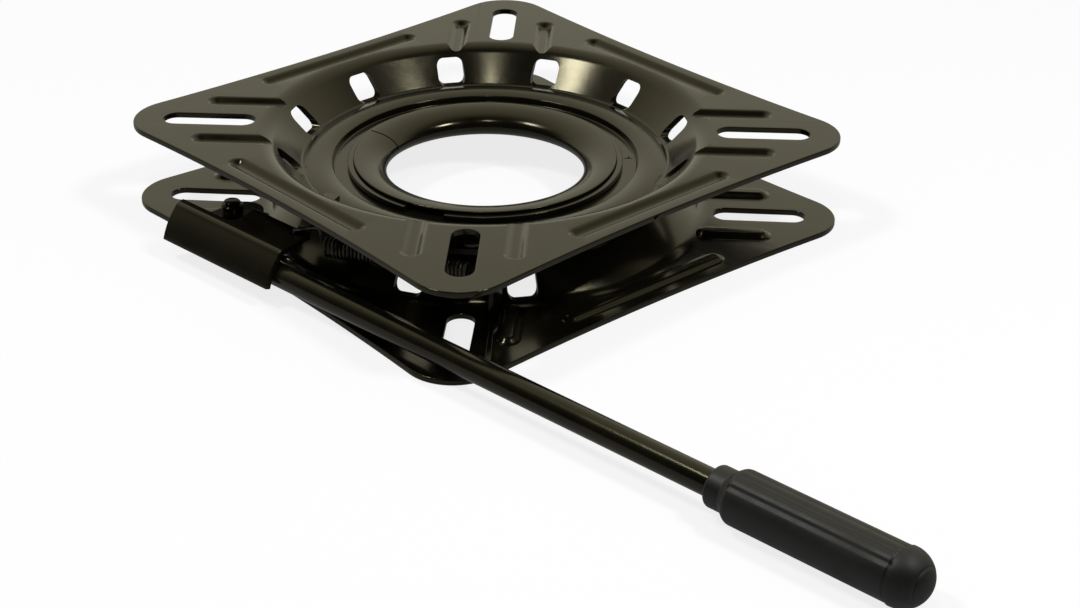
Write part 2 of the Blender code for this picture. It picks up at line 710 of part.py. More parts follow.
def fold_line():
    """Outer face of the bracket, from the skirt's tip over the bend to the flange's edge."""
    tip_v, tip_height = SKIRT_TIP
    bend_v, bend_height = BEND
    skirt_angle = atan2(bend_height - tip_height, bend_v - tip_v)
    flange_angle = atan2(FLANGE_EDGE_HEIGHT - bend_height, FLANGE_EDGE_V - bend_v)
    tangent = BEND_RADIUS * tan((skirt_angle - flange_angle) / 2)
    entry = (bend_v - tangent * cos(skirt_angle), bend_height - tangent * sin(skirt_angle))
    centre = (entry[0] + BEND_RADIUS * sin(skirt_angle), entry[1] - BEND_RADIUS * cos(skirt_angle))
    bend = arc(centre, BEND_RADIUS, skirt_angle + pi / 2, flange_angle + pi / 2, 4)
    skirt = []
    for i in range(4):
        share = i / 4
        bulge = SKIRT_BELLY * sin(pi * share)
        skirt.append((tip_v + (entry[0] - tip_v) * share - bulge * sin(skirt_angle),
                      tip_height + (entry[1] - tip_height) * share + bulge * cos(skirt_angle)))
    return skirt + bend + [(FLANGE_EDGE_V, FLANGE_EDGE_HEIGHT)]


def relief_outline():
    """Plan of what the flange loses beside the pivot tab."""
    corner = (RELIEF_STATION - RELIEF_CORNER, STRIP_EDGE_V + RELIEF_CORNER)
    far = FLANGE_EDGE_V + SHEET + CUT_OVERRUN
    return [(BRACKET_START - CUT_OVERRUN, STRIP_EDGE_V),
            *arc(corner, RELIEF_CORNER, -pi / 2, 0, 4),
            (RELIEF_STATION, far), (BRACKET_START - CUT_OVERRUN, far)]


def tab_line():
    """Top face of the step that leads from the fold down to the pivot tab."""
    strip = BEND_HEIGHT - SEAT_GAP
    return [(BEND[0] + SEAT_GAP, strip - SHEET / 2), (TAB_WALL_TOP_V, strip),
            (TAB_WALL_FOOT_V, TAB_TOP), (TAB_TIP_V + SHEET, TAB_TOP)]


def tab_outline():
    """Plan of the step and the round-ended tab."""
    start = BRACKET_START + SEAT_GAP
    end = RELIEF_STATION - SEAT_GAP
    shoulder = TAB_WALL_FOOT_V + SEAT_GAP
    left = PIVOT_STATION - TAB_HALF_WIDTH
    right = PIVOT_STATION + TAB_HALF_WIDTH
    tip = arc((PIVOT_STATION, TAB_TIP_V - TAB_HALF_WIDTH), TAB_HALF_WIDTH, 0, pi, 8)
    inlet_right = arc((right + TAB_FILLET, shoulder + TAB_FILLET), TAB_FILLET, -pi / 2, -pi, 3)
    outlet_left = [(left, shoulder + RELIEF_CORNER), (start, shoulder)]
    low = BEND[0] - CUT_OVERRUN
    return [(start, low), (end, low), (end, shoulder), *inlet_right, *tip, *outlet_left]


def tongue():
    """Arc strip that rises from the flange and runs level into the window."""
    pivot = lever_point(PIVOT_STATION, PIVOT_V)
    root = lever_point(BRACKET_END - TONGUE_WIDTH / 2 - TONGUE_MARGIN, FLANGE_EDGE_V)
    radius = (root - pivot).xy.length
    level = FLANGE_EDGE_HEIGHT - SEAT_GAP
    bm = bmesh.new()
    rows = []
    for i in range(TONGUE_STEPS + 1):
        angle = TONGUE_ROOT_ANGLE + (TONGUE_TIP_ANGLE - TONGUE_ROOT_ANGLE) * i / TONGUE_STEPS
        climb = (angle - TONGUE_RAMP_START) / (TONGUE_RAMP_END - TONGUE_RAMP_START)
        climb = min(max(climb, 0), 1)
        climb = climb * climb * (3 - 2 * climb)
        height = level + (TONGUE_TOP - level) * climb
        row = []
        for reach in (radius - TONGUE_WIDTH / 2, radius + TONGUE_WIDTH / 2):
            row.append(bm.verts.new((pivot.x + reach * cos(angle), pivot.y + reach * sin(angle),
                                     height)))
        rows.append(row)
    for first, second in zip(rows, rows[1:]):
        bm.faces.new((first[0], first[1], second[1], second[0]))
    mesh = bpy.data.meshes.new("tongue_face")
    bm.to_mesh(mesh)
    bm.free()
    strip = add_object("tongue_face", mesh, CUTTERS)
    wall = strip.modifiers.new("sheet", "SOLIDIFY")
    wall.thickness = SHEET
    wall.offset = -1
    return as_mesh(strip, "tongue")


def hook_hole_place():
    """Where the spring's near hook passes through the bracket's flange."""
    return lever_point(BRACKET_END - HOOK_HOLE_FROM_END, FLANGE_EDGE_V - HOOK_HOLE_FROM_EDGE)


def lever_bracket():
    """Folded cover, stepped pivot tab and locking tongue, all one pressing."""
    sheet = extruded_sheet("bracket_sheet", fold_line(), BRACKET_START, BRACKET_END, SHEET)
    relief = prism("relief", relief_outline(), BEND_HEIGHT - 2 * SHEET,
                   FLANGE_EDGE_HEIGHT + CUT_OVERRUN)
    combine(sheet, relief, "DIFFERENCE")
    step = extruded_sheet("step_sheet", tab_line(), BRACKET_START + SEAT_GAP,
                          RELIEF_STATION - SEAT_GAP, SHEET)
    plan = prism("tab_plan", tab_outline(), 0, OVERALL_HEIGHT)
    combine(step, plan, "INTERSECT")
    combine(sheet, step, "UNION")
    folded = as_mesh(sheet, "bracket_folded")
    folded.data.transform(lever_matrix())
    combine(folded, tongue(), "UNION")
    pivot_hole = prism("bracket_hole", arc((0, 0), RIVET_RADIUS + PIVOT_CLEARANCE, 0, 2 * pi,
                                           RIVET_SIDES)[1:], 0, TAB_TOP + CUT_OVERRUN)
    pivot_hole.data.transform(Matrix.Translation(lever_point(PIVOT_STATION, PIVOT_V)))
    hook_hole = prism("hook_hole", arc((0, 0), HOOK_HOLE_RADIUS, 0, 2 * pi, 10)[1:],
                      TAB_TOP + CUT_OVERRUN, OVERALL_HEIGHT)
    hook_hole.data.transform(Matrix.Translation(hook_hole_place()))
    combine(folded, join_meshes("bracket_holes", [pivot_hole, hook_hole]), "DIFFERENCE")
    bracket = as_mesh(folded, "lever_bracket", PARTS)
    paint(bracket, BLACK_ENAMEL)
    shade(bracket)


def pivot_pieces():
    """Rivet that the lever turns on, and the spacer below the tab."""
    spot = Matrix.Translation(lever_point(PIVOT_STATION, PIVOT_V))
    shoulder = TAB_TOP + SEAT_GAP
    shoulder_top = shoulder + RIVET_SHOULDER_HEIGHT
    rivet = turned("pivot_rivet", [
        (0, shoulder_top + RIVET_HEAD_HEIGHT), (RIVET_HEAD_RADIUS, shoulder_top + RIVET_HEAD_HEIGHT),
        (RIVET_HEAD_RADIUS, shoulder_top), (RIVET_SHOULDER_RADIUS, shoulder_top),
        (RIVET_SHOULDER_RADIUS, shoulder), (RIVET_RADIUS, shoulder), (RIVET_RADIUS, SEAT_GAP),
        (0, SEAT_GAP)], RIVET_SIDES, PARTS)
    rivet.data.transform(spot)
    paint(rivet, BLACK_ENAMEL)
    shade(rivet)
    low = SHEET + SEAT_GAP
    high = TAB_TOP - SHEET - SEAT_GAP
    bore = RIVET_RADIUS + PIVOT_CLEARANCE
    outer = bore + SPACER_WALL
    spacer = turned("pivot_spacer", [(outer, high), (outer, low), (bore, low), (bore, high)],
                    RIVET_SIDES, PARTS)
    spacer.data.transform(spot)
    paint(spacer, BRIGHT_STEEL)
    shade(spacer)


def lever_rod():
    tip = GRIP_START + GRIP_LENGTH - GRIP_END_WALL
    rod = turned("lever_rod", [(0, tip), (ROD_RADIUS, tip), (ROD_RADIUS, ROD_START),
                               (0, ROD_START)], ROD_SIDES, PARTS)
    rod.data.transform(Matrix.Rotation(pi / 2, 4, "Y"))
    rod.data.transform(lever_matrix() @ Matrix.Translation((0, 0, ROD_HEIGHT)))
    paint(rod, BLACK_ENAMEL)
    shade(rod)


def lever_grip():
    """Moulded grip: narrow mouth, slow swell, collar and domed end, on a blind bore."""
    bore = ROD_RADIUS + SEAT_GAP
    body = ROD_RADIUS + GRIP_WALL
    mouth = body - GRIP_MOUTH_TAPER
    collar_radius = body + GRIP_COLLAR_RISE
    end = GRIP_START + GRIP_LENGTH
    bore_end = end - GRIP_END_WALL + SEAT_GAP
    collar = end - GRIP_DOME - GRIP_COLLAR_LENGTH
    swell = GRIP_START + GRIP_COLLAR_LENGTH
    edge = GRIP_COLLAR_RISE
    dome = [(collar_radius * cos(angle), end - GRIP_DOME + GRIP_DOME * sin(angle))
            for angle in (radians(72), radians(54), radians(36), radians(18), 0)]
    outside = [(0, end), *dome, (collar_radius, collar + edge), (body, collar), (body, swell),
               (mouth, GRIP_START + edge), (mouth - edge, GRIP_START)]
    inside = [(bore, GRIP_START), (bore, bore_end), (0, bore_end)]
    grip = turned("lever_grip", outside + inside, GRIP_SIDES, PARTS)
    grip.data.transform(Matrix.Rotation(pi / 2, 4, "Y"))
    grip.data.transform(lever_matrix() @ Matrix.Translation((0, 0, ROD_HEIGHT)))
    paint(grip, BLACK_VINYL)
    shade(grip)


def rod_weld():
    """Weld bead that lies in the fold on top of the rod."""
    half_length = (WELD_END - WELD_START) / 2
    bm = bmesh.new()
    bmesh.ops.create_uvsphere(bm, u_segments=12, v_segments=8, radius=1)
    bm.transform(Matrix.Diagonal((half_length, WELD_HALF_WIDTH, WELD_HALF_HEIGHT, 1)))
    weld = keep_mesh("rod_weld", bm, PARTS)
    reach = ROD_RADIUS + SEAT_GAP + WELD_HALF_HEIGHT
    height = ROD_HEIGHT + sqrt(reach ** 2 - WELD_V ** 2)
    weld.data.transform(lever_matrix()
                        @ Matrix.Translation(((WELD_START + WELD_END) / 2, WELD_V, height)))
    paint(weld, BLACK_ENAMEL)
    shade(weld)


def lever_spring():
    """Extension spring: a hook through the bracket, close coils, a hook through the tab."""
    along = Vector((cos(SPRING_ANGLE), sin(SPRING_ANGLE), 0))
    across = Vector((-sin(SPRING_ANGLE), cos(SPRING_ANGLE), 0))
    up = Vector((0, 0, 1))
    turns = round(SPRING_LENGTH / SPRING_PITCH)
    count = turns * SPRING_TURN_STEPS
    coil = []
    for i in range(count + 1):
        angle = 2 * pi * i / SPRING_TURN_STEPS
        spot = spring_axis(SPRING_LENGTH * i / count)
        coil.append(spot + SPRING_COIL_RADIUS * (cos(angle) * across + sin(angle) * up))
    hook_hole = hook_hole_place()
    over = FLANGE_EDGE_HEIGHT + HOOK_RISE
    near_end = [
        Vector((hook_hole.x, hook_hole.y, FLANGE_EDGE_HEIGHT - SHEET - HOOK_RISE)),
        Vector((hook_hole.x, hook_hole.y, over - SPRING_WIRE_RADIUS)),
        Vector((hook_hole.x, hook_hole.y, over)) + along * HOOK_RISE,
        spring_axis(-SPRING_COIL_RADIUS) + up * (over - SPRING_HEIGHT),
        spring_axis(-SPRING_PITCH) + up * SPRING_COIL_RADIUS / 2,
    ]
    tab = spring_axis(SPRING_LENGTH + ANCHOR_STANDOFF)
    far_end = [
        spring_axis(SPRING_LENGTH + SPRING_PITCH / 2),
        tab + along * (SHEET + HOOK_RISE),
        tab + along * (SHEET + HOOK_RISE) - up * HOOK_RISE,
    ]
    route = near_end + coil + far_end
    curve = bpy.data.curves.new("lever_spring", "CURVE")
    curve.dimensions = "3D"
    curve.bevel_depth = SPRING_WIRE_RADIUS
    curve.bevel_resolution = 2
    curve.use_fill_caps = True
    wire = curve.splines.new("POLY")
    wire.points.add(len(route) - 1)
    for point, spot in zip(wire.points, route):
        point.co = (*spot, 1)
    spring = as_mesh(add_object("spring_wire", curve, CUTTERS), "lever_spring", PARTS)
    paint(spring, BRIGHT_STEEL)
    shade(spring)


upper_plate()
lower_plate()
hub_sleeve()
retaining_rings()
centre_bush()
ball_cage()
balls()
pivot_pieces()
lever_bracket()
rod_weld()
lever_rod()
lever_grip()
lever_spring()
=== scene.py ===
from math import asin, atan2, cos, pi, radians, sin, sqrt, tan

import bmesh
import bpy
from mathutils import Matrix, Vector


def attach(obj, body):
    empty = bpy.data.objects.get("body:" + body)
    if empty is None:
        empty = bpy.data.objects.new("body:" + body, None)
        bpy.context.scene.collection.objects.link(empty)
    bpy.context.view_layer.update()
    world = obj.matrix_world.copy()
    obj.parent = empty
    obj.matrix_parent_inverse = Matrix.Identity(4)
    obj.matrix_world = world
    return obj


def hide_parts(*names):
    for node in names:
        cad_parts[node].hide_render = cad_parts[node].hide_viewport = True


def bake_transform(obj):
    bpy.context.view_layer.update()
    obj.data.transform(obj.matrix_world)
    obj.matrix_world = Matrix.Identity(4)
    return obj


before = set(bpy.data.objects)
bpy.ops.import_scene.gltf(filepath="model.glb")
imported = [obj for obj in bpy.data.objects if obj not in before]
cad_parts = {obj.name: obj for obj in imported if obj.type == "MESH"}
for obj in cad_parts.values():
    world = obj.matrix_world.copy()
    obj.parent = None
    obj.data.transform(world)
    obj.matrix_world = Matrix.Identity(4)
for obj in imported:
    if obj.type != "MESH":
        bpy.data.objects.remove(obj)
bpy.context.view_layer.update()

# Looks of a boat seat mount. Pieces are modelled in millimetres and settled into the frame's
# metres.
MM = 0.001
MERGE = 0.001
AXIS_GAP = 0.02
OVERRUN = 1.0
TURN_STEPS = 180
HOLE_SIDES = 40
SMALL_HOLE_SIDES = 32
ROUND_END_STEPS = 12
SPHERE_LEVELS = 4
SMOOTH_ANGLE = radians(32)
SHARP_ANGLE = radians(50)

# Whole mount
OVERALL_HEIGHT = 31.0
SHEET = 2.0
SEAT_GAP = 0.3
LOWER_PLATE_TURN = radians(-1.25)
MID_HEIGHT = OVERALL_HEIGHT / 2

# Plate outline
HALF_SIDE = 88.9
SIDE_HOLLOW = 3.9
CORNER_RADIUS = 16.0
CORNER_STEPS = 20
SIDE_STEPS = 24
EDGE_ROUNDING = 0.45
EDGE_STEPS = 3
WALL_NORMAL_RISE = 0.1
LEVEL_NORMAL_RISE = 0.9

# Balls and cage
BALL_RADIUS = 3.175
BALL_COUNT = 16
CAGE_INSIDE_BALLS = 2.4
CAGE_OUTSIDE_BALLS = 4.5
CAGE_THICKNESS = 2.0
POCKET_CLEARANCE = 0.3

# Dish
RIM_WIDTH = 13.7
FOLD_RADIUS = 8.0
FOOT_RADIUS = 1.6
WALL_ANGLE = radians(45)
RACE_FROM_WALL = 3.9
RACE_HALF_WIDTH = 3.3
RACE_RISE = 1.0
STEP_FROM_RACE = 6.1
STEP_DEPTH = 2.2
STEP_LEAN = 0.5
STEP_ROUNDING = 0.45
BORE_ROUNDING = 0.3
FOLD_STEPS = 12
FOOT_STEPS = 5
SMALL_STEPS = 3
RACE_STEPS = 14
CROWN_HALF_WIDTH = 4.7
CROWN_RISE = 0.75
DISH_RADIUS = HALF_SIDE - RIM_WIDTH
FLOOR_HEIGHT = MID_HEIGHT + BALL_RADIUS + SEAT_GAP + SHEET - RACE_RISE
FLANGE_HEIGHT = FLOOR_HEIGHT - STEP_DEPTH
WALL_TOP_RADIUS = DISH_RADIUS - FOLD_RADIUS * sin(WALL_ANGLE)
WALL_TOP_HEIGHT = OVERALL_HEIGHT - FOLD_RADIUS * (1 - cos(WALL_ANGLE))
WALL_FOOT_RADIUS = WALL_TOP_RADIUS - (WALL_TOP_HEIGHT - FLOOR_HEIGHT) / tan(WALL_ANGLE)
RACE_RADIUS = WALL_FOOT_RADIUS - RACE_FROM_WALL
STEP_RADIUS = RACE_RADIUS - STEP_FROM_RACE

# Rings, hub and bush, from the step inwards
RING_FROM_STEP = 5.1
RING_LEDGE_WIDTH = 1.6
RING_LIP_CLEARANCE = 0.4
RING_THICKNESS = 0.5
RING_GAP_START = radians(-75.5)
RING_GAP_END = radians(-57.5)
HUB_LIP_WIDTH = 5.8
HUB_ROLL_RADIUS = 5.0
HUB_WALL = 2.0
HUB_LIP_EDGE = 0.7
HUB_LIP_DROP = 0.2
HUB_MOUTH_STEPS = 28
HUB_LIP_STEPS = 6
HUB_BACK_STEPS = 12
HUB_SEAM_ANGLE = radians(-158)
HUB_SEAM_WIDTH = radians(0.9)
HUB_SEAM_DEPTH = 0.35
BUSH_WALL = 2.0
BUSH_RUNNING_CLEARANCE = 1.2
RING_OUTER_RADIUS = STEP_RADIUS - RING_FROM_STEP
RING_LEDGE_RADIUS = RING_OUTER_RADIUS - RING_LEDGE_WIDTH
HUB_LIP_RADIUS = RING_LEDGE_RADIUS - RING_LIP_CLEARANCE
HUB_ROLL_CENTRE = HUB_LIP_RADIUS - HUB_LIP_WIDTH
HUB_INNER_RADIUS = HUB_ROLL_CENTRE - HUB_ROLL_RADIUS
HUB_CREST = FLANGE_HEIGHT + SEAT_GAP + RING_THICKNESS + SEAT_GAP + HUB_WALL
BUSH_INNER_RADIUS = HUB_INNER_RADIUS + HUB_WALL + BUSH_RUNNING_CLEARANCE
BUSH_OUTER_RADIUS = BUSH_INNER_RADIUS + BUSH_WALL
PLATE_BORE_RADIUS = BUSH_OUTER_RADIUS + SEAT_GAP
RING_INNER_RADIUS = PLATE_BORE_RADIUS + SEAT_GAP

# Windows, slots and grooves
WINDOW_COUNT = 12
WINDOW_WIDTH = 9.5
WINDOW_SILL = 0.1
WINDOW_HEIGHT = 7.7
LOWER_WINDOW_ANGLES = (radians(30), radians(60), radians(-150), radians(-120))
WINDOW_CORNER = 2.4
WINDOW_CORNER_STEPS = 8
SLOT_FROM_FOLD = 1.35
SLOT_FROM_TIP = 10.0
SLOT_WIDTH = 8.7
CUT_EASING = 0.35
SLOT_DRAFT = 0.001
SLOT_END_STEPS = 16
STAMP_PLACE = (29.4, 38.0)
STAMP_LENGTH = 3.0
STAMP_WIDTH = 0.5
STAMP_DEPTH = 0.4
STAMP_END_STEPS = 4
GROOVE_FROM_EDGE = 10.9
GROOVE_HALF_LENGTH = 33.4
PIVOT_SIDE_GROOVE_HALF_LENGTH = 30.45
GROOVE_WIDTH = 6.0
GROOVE_DEPTH = 1.5
CORNER_GROOVE_OFFSET = 15.3
CORNER_GROOVE_LENGTH = 24.5
CORNER_GROOVE_IN_FOLD = 4.7
CORNER_GROOVE_RUN_OUT = 4.5
CORNER_GROOVE_WIDTH = 6.6
CORNER_GROOVE_DEPTH = 1.7
GROOVE_SHOULDER = 0.5
GROOVE_WALL_SHARE = 0.86
GROOVE_WALL_STEPS = 8

# Lever rod
ROD_RADIUS = 4.0
ROD_BELOW_MID = 6.8
ROD_ANGLE = radians(4.92)
ROD_OUTSIDE_PLATE = 0.7
ROD_START = -40.0
ROD_HEIGHT = MID_HEIGHT - ROD_BELOW_MID
ROD_SIDES = 64

# Grip
GRIP_START = 179.0
GRIP_LENGTH = 68.0
GRIP_WALL = 4.0
GRIP_MOUTH_TAPER = 1.9
GRIP_MOUTH_LENGTH = 5.5
GRIP_MOUTH_ROUNDING = 1.0
GRIP_MOUTH_STEPS = 6
GRIP_SHOULDER = 2.6
GRIP_SHOULDER_STEPS = 8
GRIP_NECK_STEPS = 5
GRIP_COLLAR_RISE = 0.3
GRIP_LINE_WIDTH = 0.7
GRIP_LINE_DEPTH = 0.35
GRIP_DOME = 8.2
GRIP_DOME_STEPS = 30
GRIP_RING_ANGLE = radians(40)
GRIP_RING_HALF_ANGLE = radians(2)
GRIP_RING_DEPTH = 0.18
GRIP_END_WALL = 6.0
GRIP_SIDES = 120
GRIP_FLUTES = tuple(radians(turn) for turn in (-12, 15, 42, 168, 195, 222))
GRIP_FLUTE_HALF_ANGLE = radians(9)
GRIP_FLUTE_DEPTH = 0.3

# Bracket
PIVOT_STATION = -33.5
PIVOT_V = 14.1
BRACKET_PAST_PIVOT = 9.5
BRACKET_END = 7.2
SKIRT_TIP_OUTSIDE_ROD = 3.4
SKIRT_TIP_BELOW_ROD = 2.0
BEND_INSIDE_ROD = 3.0
BEND_ABOVE_ROD = 4.8
BEND_RADIUS = 2.6
SKIRT_BELLY = 0.7
FLANGE_EDGE_V = 11.5
FLANGE_RISE = 1.6
RELIEF_FROM_PIVOT = 15.0
RELIEF_CORNER = 3.0
STRIP_EDGE_V = 1.8
SHEET_EDGE_ROUNDING = 0.3
SHEET_EDGE_STEPS = 2
BEND_STEPS = 14
SKIRT_STEPS = 12
RELIEF_STEPS = 14
BEND_HEIGHT = ROD_HEIGHT + ROD_RADIUS + BEND_ABOVE_ROD
FLANGE_EDGE_HEIGHT = BEND_HEIGHT + FLANGE_RISE
BRACKET_START = PIVOT_STATION - BRACKET_PAST_PIVOT
RELIEF_STATION = PIVOT_STATION + RELIEF_FROM_PIVOT

# Pivot tab and rivet
TAB_ABOVE_ROD = 2.3
TAB_WALL_TOP_V = 1.2
TAB_WALL_FOOT_OUTSIDE_ROD = 2.8
TAB_HALF_WIDTH = 6.6
TAB_PAST_PIVOT = 11.1
TAB_FILLET = 4.0
TAB_FILLET_STEPS = 12
TAB_END_STEPS = 24
TAB_BEND_STEPS = 6
TAB_TOP = ROD_HEIGHT + TAB_ABOVE_ROD
TAB_WALL_FOOT_V = ROD_RADIUS + TAB_WALL_FOOT_OUTSIDE_ROD
TAB_TIP_V = PIVOT_V + TAB_PAST_PIVOT
RIVET_RADIUS = 3.0
RIVET_SHOULDER_RADIUS = 3.6
RIVET_SHOULDER_HEIGHT = 3.6
RIVET_HEAD_RADIUS = 2.7
RIVET_HEAD_HEIGHT = 1.2
RIVET_CROWN_ROUNDING = (0.5, 5)
RIVET_NECK_ROUNDING = (0.15, 3)
RIVET_SHOULDER_ROUNDING = (0.35, 4)
RIVET_FOOT_ROUNDING = (0.3, 3)
RIVET_SIDES = 64
SPACER_WALL = 1.5
PIVOT_CLEARANCE = 0.3

# Tongue
TONGUE_WIDTH = 5.0
TONGUE_OVER_SILL = 5.2
TONGUE_MARGIN = 1.5
TONGUE_ROOT_ANGLE = radians(-1.0)
TONGUE_RAMP_START = radians(1.0)
TONGUE_RAMP_END = radians(9.5)
TONGUE_TIP_ANGLE = radians(26.0)
TONGUE_STEPS = 36
TONGUE_TOP = FLOOR_HEIGHT + WINDOW_SILL + TONGUE_OVER_SILL

# Weld
WELD_START = -4.0
WELD_END = 10.5
WELD_HALF_WIDTH = 1.5
WELD_HALF_HEIGHT = 1.2
WELD_V = 1.7
# Blobs: place along the bead and length, as shares of it; they overlap by their squeeze
WELD_BLOBS = ((0.2, 0.34), (0.5, 0.38), (0.79, 0.33))
WELD_SQUEEZE = 1.6

# Spring
SPRING_BELOW_BEND = 3.0
SPRING_START_X = 9.2
SPRING_FROM_EDGE = 15.4
SPRING_LENGTH = 48.0
SPRING_ANGLE = radians(27.5)
SPRING_COIL_RADIUS = 2.9
SPRING_WIRE_RADIUS = 0.45
SPRING_PITCH = 1.3
SPRING_TURN_POINTS = 20
WIRE_ROUNDNESS = 3
HOOK_STEPS = 8
HOOK_HOLE_RADIUS = 1.3
HOOK_HOLE_FROM_END = 4.2
HOOK_HOLE_FROM_EDGE = 2.7
HOOK_RISE = 1.2
SPRING_HEIGHT = BEND_HEIGHT - SPRING_BELOW_BEND
ANCHOR_WIDTH = 7.0
ANCHOR_HOLE_RADIUS = 1.4
ANCHOR_OVER_SPRING = 3.5
ANCHOR_STANDOFF = 7.5
ANCHOR_ROOT = 1.2
ANCHOR_STEPS = 20

# Camera, fitted to the photograph
CAMERA_PLACE = (0.5135, -0.4424, 0.3316)
CAMERA_AZIMUTH = radians(47.684)
CAMERA_ELEVATION = radians(28.477)
CAMERA_ROLL = radians(0.406)
CAMERA_LENS = 74.47
CAMERA_CLIP = 0.01

FLAT = Matrix.Identity(4)
UPRIGHT = Matrix(((1, 0, 0, 0), (0, 0, -1, 0), (0, 1, 0, 0), (0, 0, 0, 1)))
ACROSS = Matrix(((0, 0, 1, 0), (1, 0, 0, 0), (0, 1, 0, 0), (0, 0, 0, 1)))


def alone(obj):
    """Make one object the only one selected."""
    bpy.ops.object.select_all(action="DESELECT")
    obj.select_set(True)
    bpy.context.view_layer.objects.active = obj


def edit_all(obj):
    alone(obj)
    bpy.ops.object.mode_set(mode="EDIT")
    bpy.ops.mesh.select_all(action="SELECT")


def close_ends(obj):
    """Fill the two small holes that a spun section leaves on its own axis."""
    edit_all(obj)
    bpy.ops.mesh.select_mode(type="EDGE")
    bpy.ops.mesh.select_all(action="DESELECT")
    bpy.ops.mesh.select_non_manifold()
    bpy.ops.mesh.edge_face_add()
    bpy.ops.mesh.select_mode(type="FACE")
    return close_up(obj)


def close_up(obj):
    """Merge doubles, turn the faces outwards and leave edit mode."""
    bpy.ops.mesh.select_all(action="SELECT")
    bpy.ops.mesh.remove_doubles(threshold=MERGE)
    bpy.ops.mesh.normals_make_consistent(inside=False)
    bpy.ops.object.mode_set(mode="OBJECT")
    return obj


def outline_face(name, points, lay=FLAT):
    """A filled outline: a circle primitive whose corners are moved to the outline's points."""
    bpy.ops.object.select_all(action="DESELECT")
    bpy.ops.mesh.primitive_circle_add(vertices=len(points), fill_type="NGON")
    obj = bpy.context.object
    obj.name = name
    for vertex, point in zip(obj.data.vertices, points):
        vertex.co = lay @ Vector((point[0], point[1], 0))
    return obj


def extruded(name, points, way, lay=FLAT):
    """A filled outline extruded along a vector."""
    obj = outline_face(name, points, lay)
    edit_all(obj)
    bpy.ops.mesh.extrude_region_move(TRANSFORM_OT_translate={"value": way})
    return close_up(obj)


def spun(name, profile, steps=TURN_STEPS, start=0.0, sweep=2 * pi):
    """A (radius, height) profile spun round the mount's axis."""
    obj = outline_face(name, profile, UPRIGHT)
    obj.data.transform(Matrix.Rotation(start, 4, "Z"))
    edit_all(obj)
    if sweep == 2 * pi:
        bpy.ops.mesh.delete(type="ONLY_FACE")
        bpy.ops.mesh.select_all(action="SELECT")
    bpy.ops.mesh.spin(steps=steps, angle=-sweep, center=(0, 0, 0), axis=(0, 0, 1))
    return close_up(obj)


def pushed(name, points, height, straight, steps, rise=False):
    """A bar that narrows in steps: an outline extruded, then inset and moved at each step."""
    obj = outline_face(name, points, Matrix.Translation((0, 0, height)))
    way = 1 if rise else -1
    edit_all(obj)
    bpy.ops.mesh.extrude_region_move(TRANSFORM_OT_translate={"value": (0, 0, way * straight)})
    for inwards, along in steps:
        bpy.ops.mesh.inset(thickness=inwards, depth=0)
        bpy.ops.transform.translate(value=(0, 0, way * along))
    return close_up(obj)


def apply_modifier(obj, modifier):
    alone(obj)
    bpy.ops.object.modifier_apply(modifier=modifier.name)


def cut(obj, tool, operation="DIFFERENCE"):
    """Boolean one object with another, which is used up."""
    step = obj.modifiers.new(operation.lower(), "BOOLEAN")
    step.operation = operation
    step.object = tool
    step.solver = "EXACT"
    apply_modifier(obj, step)
    bpy.data.objects.remove(tool)


def joined(name, parts):
    bpy.ops.object.select_all(action="DESELECT")
    for part in parts:
        part.select_set(True)
    bpy.context.view_layer.objects.active = parts[0]
    bpy.ops.object.join()
    parts[0].name = name
    return parts[0]


def copy_of(obj, name):
    twin = obj.copy()
    twin.data = obj.data.copy()
    twin.name = name
    bpy.context.collection.objects.link(twin)
    return twin


def moved(obj, *matrices):
    for matrix in matrices:
        obj.data.transform(matrix)
    return obj


def rounded_edges(obj, width, steps, angle=SHARP_ANGLE):
    bevel = obj.modifiers.new("edges", "BEVEL")
    bevel.width = width
    bevel.segments = steps
    bevel.limit_method = "ANGLE"
    bevel.angle_limit = angle
    apply_modifier(obj, bevel)
    return obj


def arc(centre, radius, start, end, steps):
    turn = (end - start) / steps
    return [(centre[0] + radius * cos(start + turn * i), centre[1] + radius * sin(start + turn * i))
            for i in range(steps + 1)]


def circle(radius, sides, centre=(0, 0)):
    return arc(centre, radius, 0, 2 * pi, sides)[1:]


def filleted(corners):
    """Round the corners of an open line; a corner is (across, up, radius, steps)."""
    line = [corners[0][:2]]
    for before, corner, after in zip(corners, corners[1:], corners[2:]):
        spot = Vector(corner[:2])
        if not corner[2]:
            line.append(tuple(spot))
            continue
        to_before = (Vector(before[:2]) - spot).normalized()
        to_after = (Vector(after[:2]) - spot).normalized()
        half = to_before.angle(to_after) / 2
        reach = corner[2] / tan(half)
        centre = spot + (to_before + to_after).normalized() * corner[2] / sin(half)
        first = spot + to_before * reach
        last = spot + to_after * reach
        start = atan2(first.y - centre.y, first.x - centre.x)
        sweep = (atan2(last.y - centre.y, last.x - centre.x) - start + pi) % (2 * pi) - pi
        line += arc(centre, corner[2], start, start + sweep, corner[3])
    return line + [corners[-1][:2]]


def offset_line(points, distance):
    """Shift an open line to its right, with mitred corners."""
    shifted = []
    last = len(points) - 1
    for i, (x, y) in enumerate(points):
        before = Vector(points[i]) - Vector(points[max(i - 1, 0)])
        after = Vector(points[min(i + 1, last)]) - Vector(points[i])
        before = (before if i else after).normalized()
        after = (after if i < last else before).normalized()
        side = Vector((before.y + after.y, -before.x - after.x)).normalized()
        reach = distance / max(side.dot(Vector((before.y, -before.x))), sin(pi / 6))
        shifted.append((x + side.x * reach, y + side.y * reach))
    return shifted


def stadium(half_length, half_width, steps=ROUND_END_STEPS):
    reach = half_length - half_width
    return (arc((reach, 0), half_width, -pi / 2, pi / 2, steps)
            + arc((-reach, 0), half_width, pi / 2, 3 * pi / 2, steps))


def turned_points(points, angle):
    return [(x * cos(angle) - y * sin(angle), x * sin(angle) + y * cos(angle)) for x, y in points]


